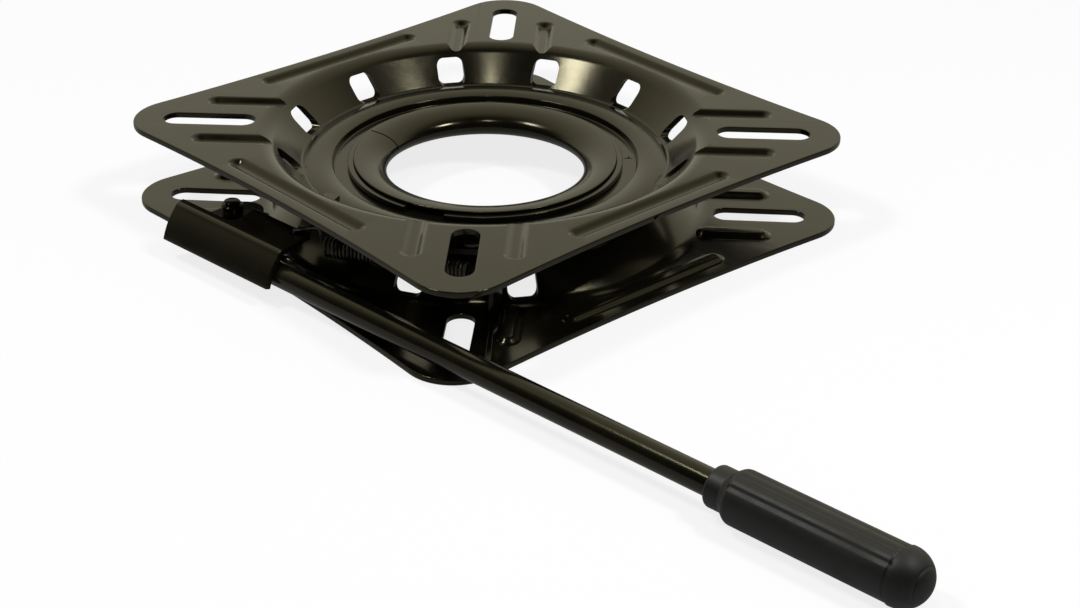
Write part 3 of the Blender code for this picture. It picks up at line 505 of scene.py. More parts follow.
def plate_outline():
    """Rounded square whose sides are hollow arcs that run smoothly into the corners."""
    side_radius = (HALF_SIDE ** 2 + SIDE_HOLLOW ** 2) / (2 * SIDE_HOLLOW)
    side_centre = HALF_SIDE - SIDE_HOLLOW + side_radius
    reach = side_radius + CORNER_RADIUS
    corner = (side_centre - sqrt(2 * reach ** 2 - side_centre ** 2)) / 2
    tangent = asin(corner / reach)
    outline = []
    for quarter in range(4):
        side = arc((side_centre, 0), side_radius, pi + tangent, pi - tangent, SIDE_STEPS)
        bend = arc((corner, corner), CORNER_RADIUS, -tangent, pi / 2 + tangent, CORNER_STEPS)
        outline += turned_points(side[1:] + bend[1:], quarter * pi / 2)
    return outline, corner * sqrt(2) + CORNER_RADIUS


PLATE_OUTLINE, CORNER_TIP = plate_outline()


def bulge_points(centre, half_width, rise, thickness=0.0):
    """A shallow arc that stands on the dish floor, from the outside in."""
    radius = (half_width ** 2 + rise ** 2) / (2 * rise)
    half_angle = asin(half_width / radius)
    height = FLOOR_HEIGHT + rise - radius
    return [(x, y, 0, 0) for x, y in arc((centre, height), radius - thickness,
                                         pi / 2 - half_angle, pi / 2 + half_angle, RACE_STEPS)]


def dish_section():
    """Closed section of the pressed sheet, top and underside filleted by themselves."""
    outside = HALF_SIDE * sqrt(2)
    slope_gap = SHEET / sin(WALL_ANGLE)
    fold = WALL_TOP_RADIUS + (OVERALL_HEIGHT - WALL_TOP_HEIGHT) / tan(WALL_ANGLE)
    under_face = OVERALL_HEIGHT - SHEET
    under_fold = fold + slope_gap - SHEET / tan(WALL_ANGLE)
    under_foot = WALL_FOOT_RADIUS + slope_gap - SHEET / tan(WALL_ANGLE)
    crown_centre = (WALL_FOOT_RADIUS + STEP_RADIUS) / 2
    top = filleted([
        (outside, OVERALL_HEIGHT, 0, 0),
        (fold, OVERALL_HEIGHT, FOLD_RADIUS, FOLD_STEPS),
        (WALL_FOOT_RADIUS, FLOOR_HEIGHT, FOOT_RADIUS, FOOT_STEPS),
        *bulge_points(crown_centre, CROWN_HALF_WIDTH, CROWN_RISE),
        (STEP_RADIUS, FLOOR_HEIGHT, STEP_ROUNDING, SMALL_STEPS),
        (STEP_RADIUS - STEP_LEAN, FLANGE_HEIGHT, STEP_ROUNDING, SMALL_STEPS),
        (PLATE_BORE_RADIUS, FLANGE_HEIGHT, BORE_ROUNDING, SMALL_STEPS),
        (PLATE_BORE_RADIUS, FLANGE_HEIGHT - SHEET / 2, 0, 0)])
    under = filleted([
        (outside, under_face, 0, 0),
        (under_fold, under_face, FOLD_RADIUS - SHEET, FOLD_STEPS),
        (under_foot, FLOOR_HEIGHT - SHEET, FOOT_RADIUS + SHEET, FOOT_STEPS),
        *bulge_points(RACE_RADIUS, RACE_HALF_WIDTH, RACE_RISE, SHEET),
        (STEP_RADIUS + SHEET, FLOOR_HEIGHT - SHEET, STEP_ROUNDING, SMALL_STEPS),
        (STEP_RADIUS + SHEET - STEP_LEAN, FLANGE_HEIGHT - SHEET, STEP_ROUNDING, SMALL_STEPS),
        (PLATE_BORE_RADIUS, FLANGE_HEIGHT - SHEET, BORE_ROUNDING, SMALL_STEPS),
        (PLATE_BORE_RADIUS, FLANGE_HEIGHT - SHEET / 2, 0, 0)])
    return top + under[-2::-1]


def round_rim(plate):
    """Bevel the two edges of the outline, picked as where a level face meets the outer wall."""
    edit_all(plate)
    bpy.ops.mesh.select_mode(type="EDGE")
    bpy.ops.mesh.select_all(action="DESELECT")
    bm = bmesh.from_edit_mesh(plate.data)
    for edge in bm.edges:
        if len(edge.link_faces) != 2 or min(v.co.xy.length for v in edge.verts) < DISH_RADIUS:
            continue
        rises = sorted(abs(face.normal.z) for face in edge.link_faces)
        if rises[0] < WALL_NORMAL_RISE and rises[1] > LEVEL_NORMAL_RISE:
            edge.select = True
    bm.select_flush(True)
    bmesh.update_edit_mesh(plate.data)
    bpy.ops.mesh.bevel(offset=EDGE_ROUNDING, segments=EDGE_STEPS, affect="EDGES")
    bpy.ops.mesh.select_mode(type="FACE")
    close_up(plate)


def eased_wall(width, depth):
    """Steps (inwards, down) of a wall that starts and ends level, as pressed sheet does."""
    heights = [depth * (1 - cos(pi * i / GROOVE_WALL_STEPS)) / 2
               for i in range(GROOVE_WALL_STEPS + 1)]
    return [(width / GROOVE_WALL_STEPS, below - above)
            for above, below in zip(heights, heights[1:])]


def groove_tools(half_length, width, depth, spot, angle, run_out=0.0):
    """The bead under the rim and the recess in its top that one groove leaves."""
    place = Matrix.Translation((*spot, 0)) @ Matrix.Rotation(angle, 4, "Z")
    under = OVERALL_HEIGHT - SHEET
    half = width / 2 + GROOVE_SHOULDER
    wall = eased_wall(half * GROOVE_WALL_SHARE, depth)
    bead = pushed("bead", stadium(half_length + 2 * GROOVE_SHOULDER, half + GROOVE_SHOULDER),
                  under + SEAT_GAP, SEAT_GAP, wall)
    recess = pushed("recess", stadium(half_length + GROOVE_SHOULDER + run_out / 2, half),
                    OVERALL_HEIGHT + SEAT_GAP, SEAT_GAP, wall)
    moved(bead, place)
    moved(recess, Matrix.Translation((-run_out / 2, 0, 0)), place)
    return bead, recess


def window_tools(angles):
    """Rounded windows cut level and outwards through the dish wall."""
    sill = FLOOR_HEIGHT + WINDOW_SILL
    head = sill + WINDOW_HEIGHT
    half = WINDOW_WIDTH / 2 - WINDOW_CORNER
    low, high = sill + WINDOW_CORNER, head - WINDOW_CORNER
    outline = []
    for quarter, centre in enumerate(((half, high), (-half, high), (-half, low), (half, low))):
        outline += arc(centre, WINDOW_CORNER, quarter * pi / 2, (quarter + 1) * pi / 2,
                       WINDOW_CORNER_STEPS)
    inner = WALL_FOOT_RADIUS - FOOT_RADIUS
    first = extruded("window", outline, (DISH_RADIUS - inner, 0, 0), ACROSS)
    moved(first, Matrix.Translation((inner, 0, 0)))
    windows = [moved(copy_of(first, "window"), Matrix.Rotation(angle, 4, "Z"))
               for angle in angles]
    bpy.data.objects.remove(first)
    return windows


def slot_tools():
    """Through cutters with an eased mouth above, and short funnels that ease the far side."""
    inner_end = DISH_RADIUS + SLOT_FROM_FOLD
    outer_end = CORNER_TIP - SLOT_FROM_TIP
    half_length = (outer_end - inner_end) / 2
    wide = stadium(half_length + CUT_EASING, SLOT_WIDTH / 2 + CUT_EASING, SLOT_END_STEPS)
    ease = CUT_EASING / 3
    through = pushed("slot", wide, OVERALL_HEIGHT + SEAT_GAP, SEAT_GAP,
                     ((2 * ease, ease), (ease, 2 * ease), (SLOT_DRAFT, SHEET + OVERRUN)))
    funnel = pushed("slot_funnel", wide, OVERALL_HEIGHT - SHEET - SEAT_GAP, SEAT_GAP,
                    ((2 * ease, ease), (1.5 * ease, 2 * ease)), rise=True)
    shift = Matrix.Translation(((inner_end + outer_end) / 2, 0, 0))
    tops, bottoms = [], []
    for tool, group in ((through, tops), (funnel, bottoms)):
        moved(tool, shift)
        for i in range(4):
            twin = copy_of(tool, tool.name)
            group.append(moved(twin, Matrix.Rotation(pi / 4 + i * pi / 2, 4, "Z")))
        bpy.data.objects.remove(tool)
    return tops, bottoms


def pressed_plate(name, window_angles, pivot_side_half_length, pivot_side_shift):
    """One pressed plate, drawn as the upper one."""
    plate = spun(name, dish_section())
    blank = extruded("blank", PLATE_OUTLINE, (0, 0, OVERALL_HEIGHT + OVERRUN))
    cut(plate, blank, "INTERSECT")
    round_rim(plate)
    beads, recesses = [], []
    distance = HALF_SIDE - GROOVE_FROM_EDGE
    for i in range(4):
        angle = i * pi / 2
        half_length = pivot_side_half_length if i == 3 else GROOVE_HALF_LENGTH
        shift = pivot_side_shift if i == 3 else 0
        spot = turned_points([(distance, shift)], angle)[0]
        tools = [groove_tools(half_length, GROOVE_WIDTH, GROOVE_DEPTH, spot, angle + pi / 2)]
        diagonal = angle + pi / 4
        reach = CORNER_GROOVE_LENGTH / 2
        middle = DISH_RADIUS - CORNER_GROOVE_IN_FOLD + reach
        for side in (-1, 1):
            spot = turned_points([(middle, side * CORNER_GROOVE_OFFSET)], diagonal)[0]
            tools.append(groove_tools(reach, CORNER_GROOVE_WIDTH, CORNER_GROOVE_DEPTH, spot,
                                      diagonal, CORNER_GROOVE_RUN_OUT))
        beads += [bead for bead, recess in tools]
        recesses += [recess for bead, recess in tools]
    cut(plate, joined("beads", beads), "UNION")
    tops, bottoms = slot_tools()
    cut(plate, joined("recesses", recesses + tops))
    cut(plate, joined("holes", window_tools(window_angles) + bottoms))
    return plate


def lever_point(station, v, height=0.0):
    return Vector((station * cos(ROD_ANGLE) - v * sin(ROD_ANGLE),
                   station * sin(ROD_ANGLE) + v * cos(ROD_ANGLE)
                   - HALF_SIDE - ROD_OUTSIDE_PLATE, height))


LEVER = Matrix.Translation(lever_point(0, 0)) @ Matrix.Rotation(ROD_ANGLE, 4, "Z")
PIVOT = lever_point(PIVOT_STATION, PIVOT_V)
AT_PIVOT = Matrix.Translation(PIVOT)
TURN_OVER = (Matrix.Rotation(LOWER_PLATE_TURN, 4, "Z") @ Matrix.Translation((0, 0, MID_HEIGHT))
             @ Matrix.Rotation(pi, 4, "X") @ Matrix.Translation((0, 0, -MID_HEIGHT)))


def spring_axis(distance):
    return Vector((SPRING_START_X + distance * cos(SPRING_ANGLE),
                   SPRING_FROM_EDGE - HALF_SIDE + distance * sin(SPRING_ANGLE), SPRING_HEIGHT))


def spring_tab():
    """The tab that stands up from the lower plate for the spring's hook."""
    half = ANCHOR_WIDTH / 2
    top = SPRING_HEIGHT + ANCHOR_OVER_SPRING
    outline = [(half, ANCHOR_ROOT), *arc((0, top - half), half, 0, pi, ANCHOR_STEPS),
               (-half, ANCHOR_ROOT)]
    tab = rounded_edges(extruded("spring_tab", outline, (SHEET, 0, 0), ACROSS),
                        SHEET_EDGE_ROUNDING, SHEET_EDGE_STEPS)
    eye = circle(ANCHOR_HOLE_RADIUS, SMALL_HOLE_SIDES, (0, SPRING_HEIGHT))
    hole = extruded("tab_hole", eye, (SHEET + 2 * OVERRUN, 0, 0), ACROSS)
    foot = spring_axis(SPRING_LENGTH + ANCHOR_STANDOFF)
    spot = Matrix.Translation((foot.x, foot.y, 0)) @ Matrix.Rotation(SPRING_ANGLE, 4, "Z")
    moved(tab, spot)
    moved(hole, Matrix.Translation((-OVERRUN, 0, 0)), spot)
    return tab, hole


def stamped_cross():
    """The small cross that is stamped beside the race."""
    bars = []
    for angle in (pi / 4, -pi / 4):
        bar = extruded("bar", stadium(STAMP_LENGTH / 2, STAMP_WIDTH / 2, STAMP_END_STEPS),
                       (0, 0, STAMP_DEPTH + SEAT_GAP))
        bars.append(moved(bar, Matrix.Rotation(angle, 4, "Z"),
                          Matrix.Translation((*STAMP_PLACE, FLANGE_HEIGHT - STAMP_DEPTH))))
    cut(bars[0], bars[1], "UNION")
    return bars[0]


def upper_plate():
    angles = [2 * pi * i / WINDOW_COUNT for i in range(WINDOW_COUNT)]
    plate = pressed_plate("upper_pressing", angles, GROOVE_HALF_LENGTH, 0)
    cut(plate, stamped_cross())
    return plate


def lower_plate():
    shift = GROOVE_HALF_LENGTH - PIVOT_SIDE_GROOVE_HALF_LENGTH
    plate = pressed_plate("lower_pressing", LOWER_WINDOW_ANGLES, PIVOT_SIDE_GROOVE_HALF_LENGTH,
                          -shift)
    moved(plate, Matrix.Rotation(pi, 4, "Z"), TURN_OVER)
    tab, tab_hole = spring_tab()
    cut(plate, tab, "UNION")
    hole = extruded("rivet_hole", circle(RIVET_RADIUS + PIVOT_CLEARANCE, HOLE_SIDES),
                    (0, 0, SHEET + GROOVE_DEPTH + 2 * OVERRUN))
    moved(hole, Matrix.Translation((PIVOT.x, PIVOT.y, -OVERRUN)))
    cut(plate, joined("lower_holes", [hole, tab_hole]))
    return plate


def mirrored(point):
    return (point[0], OVERALL_HEIGHT - point[1])


def hub_sleeve():
    """Rolled sleeve, with the fine seam of the tube that it was rolled from."""
    edge = HUB_LIP_EDGE / 2
    wide = HUB_LIP_RADIUS - edge - HUB_INNER_RADIUS
    high = HUB_CREST - HUB_LIP_DROP - MID_HEIGHT
    mouth = [(HUB_LIP_RADIUS - edge - wide * sin(angle), MID_HEIGHT + high * cos(angle))
             for angle in [pi / 2 * i / HUB_MOUTH_STEPS for i in range(HUB_MOUTH_STEPS)]]
    lip = arc((HUB_LIP_RADIUS - edge, MID_HEIGHT + high - edge), edge, -pi / 2, pi / 2,
              HUB_LIP_STEPS)
    upper_face = [*lip, *mouth[1:], (HUB_INNER_RADIUS, MID_HEIGHT)]
    centre = (HUB_ROLL_CENTRE, HUB_CREST - HUB_ROLL_RADIUS)
    back = arc(centre, HUB_ROLL_RADIUS - HUB_WALL, pi, pi / 2, HUB_BACK_STEPS)
    lower_face = [mirrored(point) for point in reversed(upper_face[:-1])]
    lower_back = [mirrored(point) for point in reversed(back)]
    hub = spun("rolled_hub", upper_face + lower_face + lower_back + back)
    seen = upper_face[HUB_LIP_STEPS // 2:]
    groove = offset_line(seen, HUB_SEAM_DEPTH)
    cover = offset_line(seen, -HUB_SEAM_DEPTH)
    seam = spun("hub_seam", cover + groove[::-1], 2, HUB_SEAM_ANGLE, HUB_SEAM_WIDTH)
    cut(hub, seam)
    return hub


def lip_underside(radius):
    low = HUB_CREST - HUB_WALL
    high = HUB_CREST - HUB_LIP_DROP - HUB_LIP_EDGE
    return low + (high - low) * (radius - HUB_ROLL_CENTRE) / HUB_LIP_WIDTH


def retaining_ring(name):
    bottom = FLANGE_HEIGHT + SEAT_GAP
    ledge = lip_underside(HUB_LIP_RADIUS) - SEAT_GAP
    inner_top = lip_underside(RING_INNER_RADIUS) - SEAT_GAP
    round_off = BORE_ROUNDING
    section = filleted([
        (RING_LEDGE_RADIUS, ledge, 0, 0),
        (RING_OUTER_RADIUS, ledge, round_off, SMALL_STEPS),
        (RING_OUTER_RADIUS, bottom, round_off, SMALL_STEPS),
        (RING_INNER_RADIUS, bottom, 0, 0),
        (RING_INNER_RADIUS, inner_top, 0, 0),
        (RING_LEDGE_RADIUS - SEAT_GAP, ledge, 0, 0)])
    sweep = 2 * pi - (RING_GAP_END - RING_GAP_START)
    return spun(name, section, TURN_STEPS, RING_GAP_END, sweep)


def centre_bush():
    outer = (BUSH_OUTER_RADIUS, FLANGE_HEIGHT)
    inner = (BUSH_INNER_RADIUS, FLANGE_HEIGHT)
    bush = spun("nylon_bush", [outer, mirrored(outer), mirrored(inner), inner])
    return rounded_edges(bush, BORE_ROUNDING, SMALL_STEPS)


def ball_place(i):
    angle = 2 * pi * i / BALL_COUNT
    return Vector((RACE_RADIUS * cos(angle), RACE_RADIUS * sin(angle), MID_HEIGHT))


def ball_cage():
    """Comb-shaped flat ring: each pocket opens inwards and still traps its ball."""
    low, high = MID_HEIGHT - CAGE_THICKNESS / 2, MID_HEIGHT + CAGE_THICKNESS / 2
    inner, outer = RACE_RADIUS - CAGE_INSIDE_BALLS, RACE_RADIUS + CAGE_OUTSIDE_BALLS
    cage = spun("nylon_cage", [(outer, high), (outer, low), (inner, low), (inner, high)])
    pocket = circle(BALL_RADIUS + POCKET_CLEARANCE, HOLE_SIDES)
    first = extruded("pocket", pocket, (0, 0, CAGE_THICKNESS + 2 * OVERRUN))
    moved(first, Matrix.Translation((0, 0, low - OVERRUN)))
    pockets = []
    for i in range(BALL_COUNT):
        spot = ball_place(i)
        pockets.append(moved(copy_of(first, "pocket"), Matrix.Translation((spot.x, spot.y, 0))))
    bpy.data.objects.remove(first)
    cut(cage, joined("pockets", pockets))
    return rounded_edges(cage, SHEET_EDGE_ROUNDING, SHEET_EDGE_STEPS)


def steel_balls():
    bpy.ops.object.select_all(action="DESELECT")
    bpy.ops.mesh.primitive_ico_sphere_add(subdivisions=SPHERE_LEVELS, radius=BALL_RADIUS)
    first = bpy.context.object
    balls = []
    for i in range(BALL_COUNT):
        name = f"steel_ball_{i + 1:02d}"
        balls.append(moved(copy_of(first, name), Matrix.Translation(ball_place(i))))
    bpy.data.objects.remove(first)
    return balls


def fold_line():
    """Outer face of the bracket, from the skirt's tip over the bend to the flange's edge."""
    tip = Vector((-ROD_RADIUS - SKIRT_TIP_OUTSIDE_ROD, ROD_HEIGHT - SKIRT_TIP_BELOW_ROD))
    bend = Vector((BEND_INSIDE_ROD - ROD_RADIUS, BEND_HEIGHT))
    flange = Vector((FLANGE_EDGE_V, FLANGE_EDGE_HEIGHT))
    skirt_angle = atan2(bend.y - tip.y, bend.x - tip.x)
    flange_angle = atan2(flange.y - bend.y, flange.x - bend.x)
    tangent = BEND_RADIUS * tan((skirt_angle - flange_angle) / 2)
    entry = bend - (bend - tip).normalized() * tangent
    centre = (entry.x + BEND_RADIUS * sin(skirt_angle), entry.y - BEND_RADIUS * cos(skirt_angle))
    fold = arc(centre, BEND_RADIUS, skirt_angle + pi / 2, flange_angle + pi / 2,
               BEND_STEPS)
    skirt = []
    for i in range(SKIRT_STEPS):
        share = i / SKIRT_STEPS
        bulge = SKIRT_BELLY * sin(pi * share)
        spot = tip.lerp(entry, share)
        skirt.append((spot.x - bulge * sin(skirt_angle), spot.y + bulge * cos(skirt_angle)))
    return skirt + fold + [tuple(flange)]


def sheet_section(line):
    return list(line) + offset_line(line, SHEET)[::-1]


def relief_tool():
    corner = (RELIEF_STATION - RELIEF_CORNER, STRIP_EDGE_V + RELIEF_CORNER)
    far = FLANGE_EDGE_V + SHEET + OVERRUN
    start = BRACKET_START - OVERRUN
    outline = [(start, STRIP_EDGE_V), *arc(corner, RELIEF_CORNER, -pi / 2, 0, RELIEF_STEPS),
               (RELIEF_STATION, far), (start, far)]
    tool = extruded("relief", outline, (0, 0, FLANGE_EDGE_HEIGHT + OVERRUN - BEND_HEIGHT
                                        + 2 * SHEET))
    return moved(tool, Matrix.Translation((0, 0, BEND_HEIGHT - 2 * SHEET)))


def tab_blank():
    start = BRACKET_START + SEAT_GAP
    end = RELIEF_STATION - SEAT_GAP
    shoulder = TAB_WALL_FOOT_V + SEAT_GAP
    left, right = PIVOT_STATION - TAB_HALF_WIDTH, PIVOT_STATION + TAB_HALF_WIDTH
    low = BEND_INSIDE_ROD - ROD_RADIUS - OVERRUN
    outline = [
        (start, low), (end, low), (end, shoulder),
        *arc((right + TAB_FILLET, shoulder + TAB_FILLET), TAB_FILLET, -pi / 2, -pi,
             TAB_FILLET_STEPS),
        *arc((PIVOT_STATION, TAB_TIP_V - TAB_HALF_WIDTH), TAB_HALF_WIDTH, 0, pi, TAB_END_STEPS),
        (left, shoulder + RELIEF_CORNER), (start, shoulder)]
    return extruded("tab_blank", outline, (0, 0, OVERALL_HEIGHT))


def tongue():
    """Arc strip that climbs from the flange and runs level into a window."""
    root = lever_point(BRACKET_END - TONGUE_WIDTH / 2 - TONGUE_MARGIN, FLANGE_EDGE_V)
    radius = (root - PIVOT).xy.length
    level = FLANGE_EDGE_HEIGHT - SEAT_GAP
    half = TONGUE_WIDTH / 2
    section = [(radius - half, level), (radius + half, level), (radius + half, level - SHEET),
               (radius - half, level - SHEET)]
    strip = spun("tongue", section, TONGUE_STEPS, TONGUE_ROOT_ANGLE,
                 TONGUE_TIP_ANGLE - TONGUE_ROOT_ANGLE)
    for vertex in strip.data.vertices:
        angle = atan2(vertex.co.y, vertex.co.x)
        climb = (angle - TONGUE_RAMP_START) / (TONGUE_RAMP_END - TONGUE_RAMP_START)
        climb = min(max(climb, 0), 1)
        vertex.co.z += (TONGUE_TOP - level) * climb * climb * (3 - 2 * climb)
    moved(strip, AT_PIVOT)
    return rounded_edges(strip, SHEET_EDGE_ROUNDING, SHEET_EDGE_STEPS)


def lever_bracket():
    """Folded cover, stepped pivot tab and locking tongue, one pressing."""
    length = BRACKET_END - BRACKET_START
    cover = extruded("folded_bracket", sheet_section(fold_line()), (length, 0, 0), ACROSS)
    moved(cover, Matrix.Translation((BRACKET_START, 0, 0)))
    rounded_edges(cover, SHEET_EDGE_ROUNDING, SHEET_EDGE_STEPS)
    cut(cover, relief_tool())
    strip = BEND_HEIGHT - SEAT_GAP
    bend_v = BEND_INSIDE_ROD - ROD_RADIUS
    step_line = filleted([
        (bend_v + SEAT_GAP, strip - SHEET / 2, 0, 0), (TAB_WALL_TOP_V, strip, 0, 0),
        (TAB_WALL_FOOT_V, TAB_TOP, SHEET, TAB_BEND_STEPS),
        (TAB_TIP_V + SHEET, TAB_TOP, 0, 0)])
    step = extruded("step", sheet_section(step_line), (RELIEF_STATION - BRACKET_START, 0, 0),
                    ACROSS)
    moved(step, Matrix.Translation((BRACKET_START, 0, 0)))
    cut(step, tab_blank(), "INTERSECT")
    cut(cover, step, "UNION")
    moved(cover, LEVER)
    cut(cover, tongue(), "UNION")
    pivot_hole = extruded("pivot_hole", circle(RIVET_RADIUS + PIVOT_CLEARANCE, HOLE_SIDES),
                          (0, 0, TAB_TOP + OVERRUN))
    moved(pivot_hole, AT_PIVOT)
    hook_hole = extruded("hook_hole", circle(HOOK_HOLE_RADIUS, SMALL_HOLE_SIDES),
                         (0, 0, OVERALL_HEIGHT))
    moved(hook_hole, Matrix.Translation(hook_place() + Vector((0, 0, TAB_TOP + OVERRUN))))
    cut(cover, joined("bracket_holes", [pivot_hole, hook_hole]))
    return cover


def hook_place():
    return lever_point(BRACKET_END - HOOK_HOLE_FROM_END, FLANGE_EDGE_V - HOOK_HOLE_FROM_EDGE)


def pivot_rivet():
    """Rivet that the tab turns on, with a shoulder over the tab and a rounded head."""
    low = TAB_TOP + SEAT_GAP
    high = low + RIVET_SHOULDER_HEIGHT
    crown = high + RIVET_HEAD_HEIGHT
    section = filleted([
        (AXIS_GAP, crown, 0, 0),
        (RIVET_HEAD_RADIUS, crown, *RIVET_CROWN_ROUNDING),
        (RIVET_HEAD_RADIUS, high, *RIVET_NECK_ROUNDING),
        (RIVET_SHOULDER_RADIUS, high, *RIVET_SHOULDER_ROUNDING),
        (RIVET_SHOULDER_RADIUS, low, 0, 0),
        (RIVET_RADIUS, low, 0, 0),
        (RIVET_RADIUS, SEAT_GAP, *RIVET_FOOT_ROUNDING),
        (AXIS_GAP, SEAT_GAP, 0, 0)])
    rivet = spun("pivot_pin", section, RIVET_SIDES)
    close_ends(rivet)
    return moved(rivet, AT_PIVOT)


def pivot_spacer():
    low, high = SHEET + SEAT_GAP, TAB_TOP - SHEET - SEAT_GAP
    bore = RIVET_RADIUS + PIVOT_CLEARANCE
    outer = bore + SPACER_WALL
    spacer = spun("turned_spacer", [(outer, high), (outer, low), (bore, low), (bore, high)],
                  RIVET_SIDES)
    rounded_edges(spacer, SHEET_EDGE_ROUNDING, SHEET_EDGE_STEPS)
    return moved(spacer, AT_PIVOT)


def along_rod(obj):
    """Lay a piece turned round Z along the lever rod."""
    return moved(obj, Matrix.Rotation(pi / 2, 4, "Y"), Matrix.Translation((0, 0, ROD_HEIGHT)),
                 LEVER)


def lever_rod():
    tip = GRIP_START + GRIP_LENGTH - GRIP_END_WALL
    bpy.ops.object.select_all(action="DESELECT")
    bpy.ops.mesh.primitive_cylinder_add(vertices=ROD_SIDES, radius=ROD_RADIUS,
                                        depth=tip - ROD_START,
                                        location=(0, 0, (tip + ROD_START) / 2))
    rod = bpy.context.object
    bpy.ops.object.transform_apply()
    rod.name = "steel_rod"
    rounded_edges(rod, SHEET_EDGE_ROUNDING, SMALL_STEPS)
    return along_rod(rod)


def lever_grip():
    """Moulded grip: narrow rounded mouth, body with shallow lengthwise flutes, ring line and
    domed end with a shallow ring."""
    bore = ROD_RADIUS + SEAT_GAP
    body = ROD_RADIUS + GRIP_WALL
    end = GRIP_START + GRIP_LENGTH
    ring_line = end - GRIP_DOME
    shoulder = GRIP_START + GRIP_MOUTH_LENGTH
    dome = []
    for i in range(1, GRIP_DOME_STEPS + 1):
        angle = pi / 2 * i / GRIP_DOME_STEPS
        dent = GRIP_RING_DEPTH if abs(angle - GRIP_RING_ANGLE) < GRIP_RING_HALF_ANGLE else 0
        dome.append(((body + GRIP_COLLAR_RISE - dent) * sin(angle),
                     ring_line + (GRIP_DOME - dent) * cos(angle)))
    section = [(AXIS_GAP, end), *dome]
    section += filleted([
        (body + GRIP_COLLAR_RISE, ring_line - GRIP_LINE_WIDTH / 2, 0, 0),
        (body - GRIP_LINE_DEPTH, ring_line - GRIP_LINE_WIDTH, GRIP_LINE_WIDTH / 3,
         SMALL_STEPS),
        (body, ring_line - 2 * GRIP_LINE_WIDTH, GRIP_LINE_WIDTH / 3, SMALL_STEPS),
        (body, shoulder + GRIP_SHOULDER, GRIP_SHOULDER, GRIP_SHOULDER_STEPS),
        (body - GRIP_MOUTH_TAPER, shoulder, GRIP_SHOULDER / 2, GRIP_NECK_STEPS),
        (body - GRIP_MOUTH_TAPER, GRIP_START, GRIP_MOUTH_ROUNDING, GRIP_MOUTH_STEPS),
        (bore, GRIP_START, 0, 0)])
    floor = end - GRIP_END_WALL + SEAT_GAP
    section += [(bore, floor), (AXIS_GAP, floor)]
    grip = close_ends(spun("vinyl_grip", section, GRIP_SIDES))
    for vertex in grip.data.vertices:
        reach = vertex.co.xy.length
        if vertex.co.z < shoulder + GRIP_SHOULDER or reach < body - GRIP_LINE_DEPTH:
            continue
        turn = atan2(vertex.co.y, vertex.co.x)
        for flute in GRIP_FLUTES:
            apart = abs((turn - flute + pi) % (2 * pi) - pi) / GRIP_FLUTE_HALF_ANGLE
            if apart < 1 and vertex.co.z < ring_line:
                vertex.co.xy *= 1 - GRIP_FLUTE_DEPTH * (1 + cos(pi * apart)) / (2 * reach)
    return along_rod(grip)


def weld_bead():
    """Three overlapping blobs of weld in the fold on top of the rod."""
    reach = ROD_RADIUS + SEAT_GAP + WELD_HALF_HEIGHT
    height = ROD_HEIGHT + sqrt(reach ** 2 - WELD_V ** 2)
    length = WELD_END - WELD_START
    blobs = []
    for share, size_share in WELD_BLOBS:
        bpy.ops.object.select_all(action="DESELECT")
        bpy.ops.mesh.primitive_ico_sphere_add(subdivisions=SPHERE_LEVELS, radius=1)
        blob = bpy.context.object
        moved(blob, Matrix.Diagonal((length * size_share / WELD_SQUEEZE, WELD_HALF_WIDTH,
                                     WELD_HALF_HEIGHT, 1)),
              Matrix.Translation((WELD_START + length * share, WELD_V, height)))
        blobs.append(blob)
    weld = blobs[0]
    for blob in blobs[1:]:
        cut(weld, blob, "UNION")
    weld.name = "weld_blobs"
    return moved(weld, LEVER)


def lever_spring():
    """Close-wound spring with a hook at each end, drawn as one wire."""
    along = Vector((cos(SPRING_ANGLE), sin(SPRING_ANGLE), 0))
    across = Vector((-sin(SPRING_ANGLE), cos(SPRING_ANGLE), 0))
    up = Vector((0, 0, 1))
    turns = round(SPRING_LENGTH / SPRING_PITCH)
    count = turns * SPRING_TURN_POINTS
    coil = []
    for i in range(count + 1):
        angle = 2 * pi * i / SPRING_TURN_POINTS
        coil.append(spring_axis(SPRING_LENGTH * i / count)
                    + SPRING_COIL_RADIUS * (cos(angle) * across + sin(angle) * up))
    hole = hook_place()
    over = FLANGE_EDGE_HEIGHT + HOOK_RISE
    near = [
        Vector((hole.x, hole.y, FLANGE_EDGE_HEIGHT - SHEET - HOOK_RISE)),
        Vector((hole.x, hole.y, over - 2 * SPRING_WIRE_RADIUS)),
        Vector((hole.x, hole.y, over)) + along * HOOK_RISE,
        spring_axis(-SPRING_COIL_RADIUS) + up * (over - SPRING_HEIGHT),
        spring_axis(-SPRING_PITCH) + up * SPRING_COIL_RADIUS / 2,
    ]
    tab = spring_axis(SPRING_LENGTH + ANCHOR_STANDOFF)
    far = [
        spring_axis(SPRING_LENGTH + SPRING_PITCH),
        tab - along * (HOOK_RISE + SHEET),
        tab + along * (SHEET + HOOK_RISE),
        tab + along * (SHEET + HOOK_RISE) - up * HOOK_RISE,
    ]
    route = smooth_route(near + coil[:1]) + coil[1:-1] + smooth_route(coil[-1:] + far)
    bpy.ops.object.select_all(action="DESELECT")
    bpy.ops.curve.primitive_nurbs_path_add()
    wire = bpy.context.object
    wire.name = "spring_wire"
    wire.data.splines.clear()
    line = wire.data.splines.new("POLY")
    line.points.add(len(route) - 1)
    for point, spot in zip(line.points, route):
        point.co = (*spot, 1)
    wire.data.bevel_depth = SPRING_WIRE_RADIUS
    wire.data.bevel_resolution = WIRE_ROUNDNESS
    wire.data.use_fill_caps = True
    alone(wire)
    bpy.ops.object.convert(target="MESH")
    edit_all(wire)
    return close_up(wire)


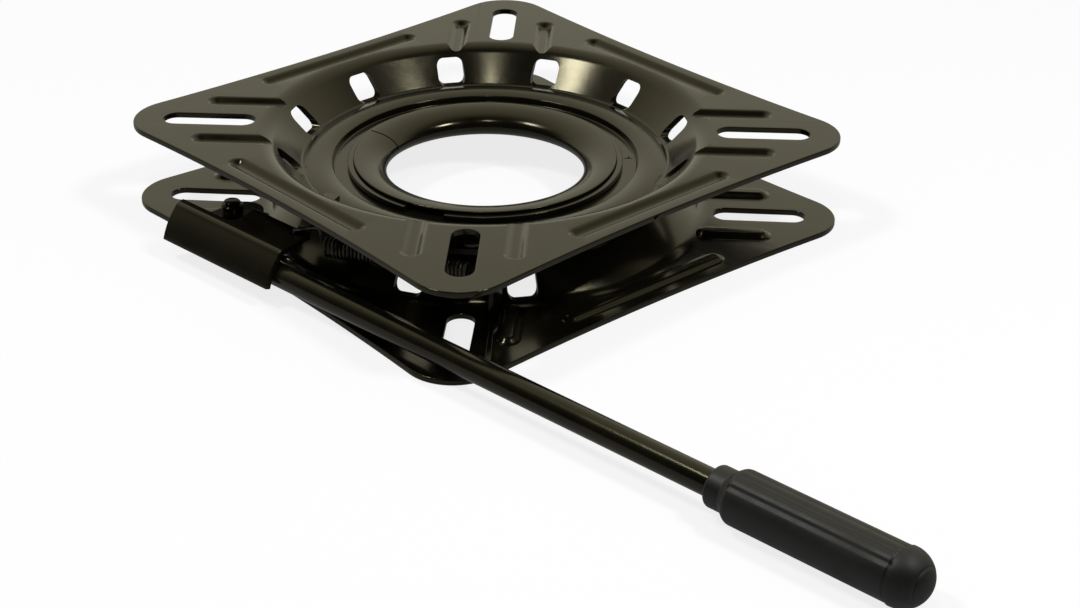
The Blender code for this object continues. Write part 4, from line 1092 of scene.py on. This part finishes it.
def smooth_route(points, steps=HOOK_STEPS):
    """Points on a smooth curve through the given ones."""
    route = []
    padded = [points[0], *points, points[-1]]
    for before, first, second, after in zip(padded, padded[1:], padded[2:], padded[3:]):
        for i in range(steps):
            t = i / steps
            route.append(0.5 * (2 * first + (second - before) * t
                                + (2 * before - 5 * first + 4 * second - after) * t ** 2
                                + (3 * first - before - 3 * second + after) * t ** 3))
    return route + [points[-1]]


def linear(hex_colour):
    """An sRGB hex value as linear colour."""
    parts = [int(hex_colour[i:i + 2], 16) / 255 for i in (1, 3, 5)]
    return tuple(c / 12.92 if c <= 0.04045 else ((c + 0.055) / 1.055) ** 2.4 for c in parts) + (1,)


def add_node(material, kind, values=(), links=(), **settings):
    """Add a node, with its settings, input values and incoming links."""
    node = material.node_tree.nodes.new(kind)
    for name, value in settings.items():
        setattr(node, name, value)
    for socket, value in values:
        node.inputs[socket].default_value = value
    for socket, source in links:
        material.node_tree.links.new(source, node.inputs[socket])
    return node


def plug(material, source, node, socket):
    material.node_tree.links.new(source, node.inputs[socket])


def finish_of(name, mottle, tones, tone_ends, dull, dull_ends, grain, bump, **sockets):
    """A material whose tone and dullness follow one noise and whose bump follows another.

    A noise is its size in mm, detail and roughness, and a bump its strength and height in mm.
    Constants are set on the shader's own sockets.
    """
    material = bpy.data.materials.new(name)
    material.use_nodes = True
    shader = material.node_tree.nodes["Principled BSDF"]
    for socket, value in sockets.items():
        shader.inputs[socket.replace("_", " ")].default_value = value
    place = add_node(material, "ShaderNodeTexCoord").outputs["Object"]
    cloud, relief = [
        add_node(material, "ShaderNodeTexNoise", [
            ("Scale", 1 / (size * MM)), ("Detail", detail), ("Roughness", roughness)],
            [("Vector", place)]).outputs["Fac"]
        for size, detail, roughness in (mottle, grain)]
    tone = add_node(material, "ShaderNodeValToRGB", links=[("Fac", cloud)])
    for stop, colour, end in zip(tone.color_ramp.elements, tones, tone_ends):
        stop.position = end
        stop.color = linear(colour)
    rough = add_node(material, "ShaderNodeMapRange", [
        ("From Min", dull_ends[0]), ("From Max", dull_ends[1]), ("To Min", dull[0]),
        ("To Max", dull[1])], [("Value", cloud)])
    raised = add_node(material, "ShaderNodeBump", [
        ("Strength", bump[0]), ("Distance", bump[1] * MM)], [("Height", relief)])
    plug(material, tone.outputs["Color"], shader, "Base Color")
    plug(material, rough.outputs["Result"], shader, "Roughness")
    plug(material, raised.outputs["Normal"], shader, "Normal")
    return material


def baked_enamel():
    """Gloss black baking enamel, sprayed: near-black with an olive cast, fine orange peel,
    hand smudges that dull it and sparse pale specks of dust under the gloss."""
    dust_size = 0.9
    material = finish_of(
        "gloss_black_baking_enamel", mottle=(26, 6, 0.62), tones=("#0b0a06", "#13120b"),
        tone_ends=(0.35, 0.75), dull=(0.13, 0.23), dull_ends=(0.35, 0.75), grain=(2.2, 2, 0.5),
        bump=(0.3, 0.025), IOR=1.5, Specular_IOR_Level=0.36, Specular_Tint=linear("#fff6cc"))
    shader = material.node_tree.nodes["Principled BSDF"]
    tone = shader.inputs["Base Color"].links[0].from_socket
    place = add_node(material, "ShaderNodeTexCoord").outputs["Object"]
    dust = add_node(material, "ShaderNodeTexNoise", [
        ("Scale", 1 / (dust_size * MM)), ("Detail", 3)], [("Vector", place)])
    specks = add_node(material, "ShaderNodeMapRange", [("From Min", 0.7), ("From Max", 0.8)],
                      [("Value", dust.outputs["Fac"])])
    colour = add_node(material, "ShaderNodeMix", [(7, linear("#26241a"))], [
        ("Factor", specks.outputs["Result"]), (6, tone)], data_type="RGBA")
    plug(material, colour.outputs[2], shader, "Base Color")
    return material


def spring_steel():
    """Oil-tempered spring wire: bright drawn steel, darkened here and there by oil."""
    return finish_of(
        "drawn_spring_steel", mottle=(3.5, 4, 0.5), tones=("#4a463e", "#9a958a"),
        tone_ends=(0.35, 0.7), dull=(0.22, 0.5), dull_ends=(0, 1), grain=(0.3, 2, 0.5),
        bump=(0.2, 0.01), Metallic=1.0)


def ball_steel():
    """Hardened and lapped bearing steel: bright, under an uneven film of grease."""
    grease = (5, 3, 0.5)
    return finish_of(
        "lapped_bearing_steel", mottle=grease, tones=("#8f8a7c", "#c9c7c1"), tone_ends=(0, 1),
        dull=(0.12, 0.34), dull_ends=(0, 1), grain=grease, bump=(0.25, 0.02), Metallic=1.0)


def moulded_nylon():
    """Natural nylon as moulded, faintly mottled, drawn in dark olive-brown tones."""
    mottle = (6, 4, 0.5)
    return finish_of(
        "natural_moulded_nylon", mottle=mottle, tones=("#2b271d", "#4a4434"), tone_ends=(0, 1),
        dull=(0.35, 0.6), dull_ends=(0, 1), grain=mottle, bump=(0.2, 0.02), IOR=1.53)


def black_vinyl():
    """Soft black vinyl, moulded with a fine leathery matte and handled until partly shiny."""
    return finish_of(
        "matte_black_vinyl", mottle=(14, 5, 0.5), tones=("#0d0c0b", "#161512"),
        tone_ends=(0.35, 0.75), dull=(0.42, 0.62), dull_ends=(0.3, 0.7), grain=(0.5, 3, 0.5),
        bump=(0.5, 0.03), IOR=1.52, Specular_IOR_Level=0.4)


def settle(obj, body, material, slot, *nodes):
    """Scale a finished piece to metres, smooth it, give it its finish and let it ride."""
    obj.data.transform(Matrix.Scale(MM, 4))
    alone(obj)
    bpy.ops.object.shade_smooth_by_angle(angle=SMOOTH_ANGLE)
    weigh = obj.modifiers.new("even_shading", "WEIGHTED_NORMAL")
    weigh.keep_sharp = True
    apply_modifier(obj, weigh)
    obj.data.materials.clear()
    obj.data.materials.append(material)
    if isinstance(body, str):
        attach(obj, body)
    else:
        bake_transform(obj)
    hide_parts(*nodes)


enamel, wire_steel, lapped_steel = baked_enamel(), spring_steel(), ball_steel()
nylon, vinyl = moulded_nylon(), black_vinyl()

settle(upper_plate(), "seat_plate", enamel, "black_enamel", "upper_plate")
settle(lower_plate(), "base", enamel, "black_enamel", "lower_plate")
settle(hub_sleeve(), "base", enamel, "black_enamel", "hub_sleeve")
settle(retaining_ring("upper_split_ring"), "base", enamel, "black_enamel", "upper_retaining_ring")
settle(moved(retaining_ring("lower_split_ring"), TURN_OVER), "base", enamel, "black_enamel",
       "lower_retaining_ring")
settle(centre_bush(), "base", nylon, "natural_nylon", "centre_bush")
settle(ball_cage(), "cage", nylon, "natural_nylon", "ball_cage")
for number, ball in enumerate(steel_balls(), 1):
    settle(ball, "cage", lapped_steel, "bright_steel", f"ball_{number:02d}")
settle(pivot_rivet(), "base", enamel, "black_enamel", "pivot_rivet")
settle(pivot_spacer(), "base", wire_steel, "bright_steel", "pivot_spacer")
settle(lever_bracket(), "lever", enamel, "black_enamel", "lever_bracket")
settle(weld_bead(), "lever", enamel, "black_enamel", "rod_weld")
settle(lever_rod(), "lever", enamel, "black_enamel", "lever_rod")
settle(lever_grip(), "lever", vinyl, "black_vinyl", "lever_grip")
near_hook = hook_place() * MM
far_hook = spring_axis(SPRING_LENGTH + ANCHOR_STANDOFF) * MM
settle(lever_spring(), ("lever", "base", near_hook, far_hook), wire_steel, "bright_steel",
       "lever_spring")

# Stage: a white floor that keeps a soft shadow, and a white studio that is dark on the
# camera's own side, as the gloss in the photograph shows
FLOOR_SIZE = 8.0
FLOOR_PAINT = (0.9, 0.9, 0.9, 1)
FLOOR_GLOW = 0.75
FLOOR_WHITE = 1.08
FLOOR_IN_GLOSS = 0.3
WORLD_FILL = 0.2
GLOSS_BEHIND = 0.9
GLOSS_CAMERA_SIDE = 0.02
GLOSS_TURN = (-0.15, 0.5)
GLOSS_TINT = "#fffbe0"
LAMP_DISTANCE = 1.2
# Lamps: name, azimuth from the camera's, elevation, size, power
LAMPS = (
    ("left_softbox", radians(-80), radians(60), 0.2, 4.2),
    ("right_softbox", radians(64), radians(55), 0.22, 5.0),
    ("small_lamp", radians(-5), radians(68), 0.1, 0.9),
)


def white_floor():
    bpy.ops.object.select_all(action="DESELECT")
    bpy.ops.mesh.primitive_plane_add(size=FLOOR_SIZE)
    floor = bpy.context.object
    floor.name = "studio_floor"
    material = bpy.data.materials.new("white_studio_floor")
    material.use_nodes = True
    material.node_tree.nodes.clear()
    diffuse = add_node(material, "ShaderNodeBsdfDiffuse", [("Color", FLOOR_PAINT)])
    light = add_node(material, "ShaderNodeLightPath")
    clear = add_node(material, "ShaderNodeMath", links=[
        (0, light.outputs["Is Camera Ray"]), (1, light.outputs["Is Transmission Ray"])],
        operation="MAXIMUM")
    white = add_node(material, "ShaderNodeMath", [(1, FLOOR_WHITE)], [(0, clear.outputs[0])],
                     operation="MULTIPLY")
    gloss = add_node(material, "ShaderNodeMath", [(1, FLOOR_IN_GLOSS)],
                     [(0, light.outputs["Is Glossy Ray"])], operation="MULTIPLY")
    strength = add_node(material, "ShaderNodeMath", links=[
        (0, white.outputs[0]), (1, gloss.outputs[0])], operation="MAXIMUM")
    glow = add_node(material, "ShaderNodeEmission", links=[("Strength", strength.outputs[0])])
    seen = add_node(material, "ShaderNodeMath", links=[
        (0, clear.outputs[0]), (1, light.outputs["Is Glossy Ray"])], operation="MAXIMUM")
    share = add_node(material, "ShaderNodeMath", [(1, FLOOR_GLOW)],
                     [(0, seen.outputs[0])], operation="MULTIPLY")
    mix = add_node(material, "ShaderNodeMixShader", links=[
        ("Fac", share.outputs[0]), (1, diffuse.outputs["BSDF"]), (2, glow.outputs["Emission"])])
    out = add_node(material, "ShaderNodeOutputMaterial")
    plug(material, mix.outputs["Shader"], out, "Surface")
    floor.data.materials.append(material)


def white_world():
    """White to the camera; in gloss white behind the object and dark on the camera's side."""
    world = bpy.data.worlds.new("white_studio")
    world.use_nodes = True
    bpy.context.scene.world = world
    world.node_tree.nodes.clear()
    way = add_node(world, "ShaderNodeTexCoord").outputs["Generated"]
    behind = (-sin(CAMERA_AZIMUTH), cos(CAMERA_AZIMUTH), 0)
    facing = add_node(world, "ShaderNodeVectorMath", [(1, behind)], [(0, way)],
                      operation="DOT_PRODUCT")
    gloss = add_node(world, "ShaderNodeMapRange", [
        ("From Min", GLOSS_TURN[0]), ("From Max", GLOSS_TURN[1]), ("To Min", GLOSS_CAMERA_SIDE),
        ("To Max", GLOSS_BEHIND)], [("Value", facing.outputs["Value"])],
        interpolation_type="SMOOTHSTEP")
    light = add_node(world, "ShaderNodeLightPath")
    clear = add_node(world, "ShaderNodeMath", links=[
        (0, light.outputs["Is Camera Ray"]), (1, light.outputs["Is Transmission Ray"])],
        operation="MAXIMUM")
    unseen = add_node(world, "ShaderNodeMix", [("A", WORLD_FILL)], [
        ("Factor", light.outputs["Is Glossy Ray"]), ("B", gloss.outputs["Result"])])
    strength = add_node(world, "ShaderNodeMix", [("B", 1.0)], [
        ("Factor", clear.outputs[0]), ("A", unseen.outputs["Result"])])
    tint = add_node(world, "ShaderNodeMix", [(6, (1, 1, 1, 1)), (7, linear(GLOSS_TINT))],
                    [("Factor", light.outputs["Is Glossy Ray"])], data_type="RGBA")
    background = add_node(world, "ShaderNodeBackground", links=[
        ("Color", tint.outputs[2]), ("Strength", strength.outputs["Result"])])
    out = add_node(world, "ShaderNodeOutputWorld")
    plug(world, background.outputs["Background"], out, "Surface")


def soft_lamps():
    for name, aside, elevation, size, power in LAMPS:
        azimuth = CAMERA_AZIMUTH + aside
        back = Vector((sin(azimuth) * cos(elevation), -cos(azimuth) * cos(elevation),
                       sin(elevation)))
        bpy.ops.object.light_add(type="AREA", location=back * LAMP_DISTANCE)
        lamp = bpy.context.object
        lamp.name = name
        lamp.data.shape = "DISK"
        lamp.data.size = size
        lamp.data.energy = power
        lamp.rotation_euler = back.to_track_quat("Z", "Y").to_euler()


def photo_camera():
    bpy.ops.object.camera_add(location=CAMERA_PLACE)
    camera = bpy.context.object
    a, e, r = CAMERA_AZIMUTH, CAMERA_ELEVATION, CAMERA_ROLL
    back = Vector((sin(a) * cos(e), -cos(a) * cos(e), sin(e)))
    level = Vector((cos(a), sin(a), 0))
    upright = back.cross(level)
    right = cos(r) * level + sin(r) * upright
    above = back.cross(right)
    camera.rotation_euler = Matrix((right, above, back)).transposed().to_euler()
    camera.data.lens = CAMERA_LENS
    camera.data.clip_start = CAMERA_CLIP
    bpy.context.scene.camera = camera


white_floor()
white_world()
soft_lamps()
photo_camera()
bpy.context.scene.view_settings.view_transform = "Standard"
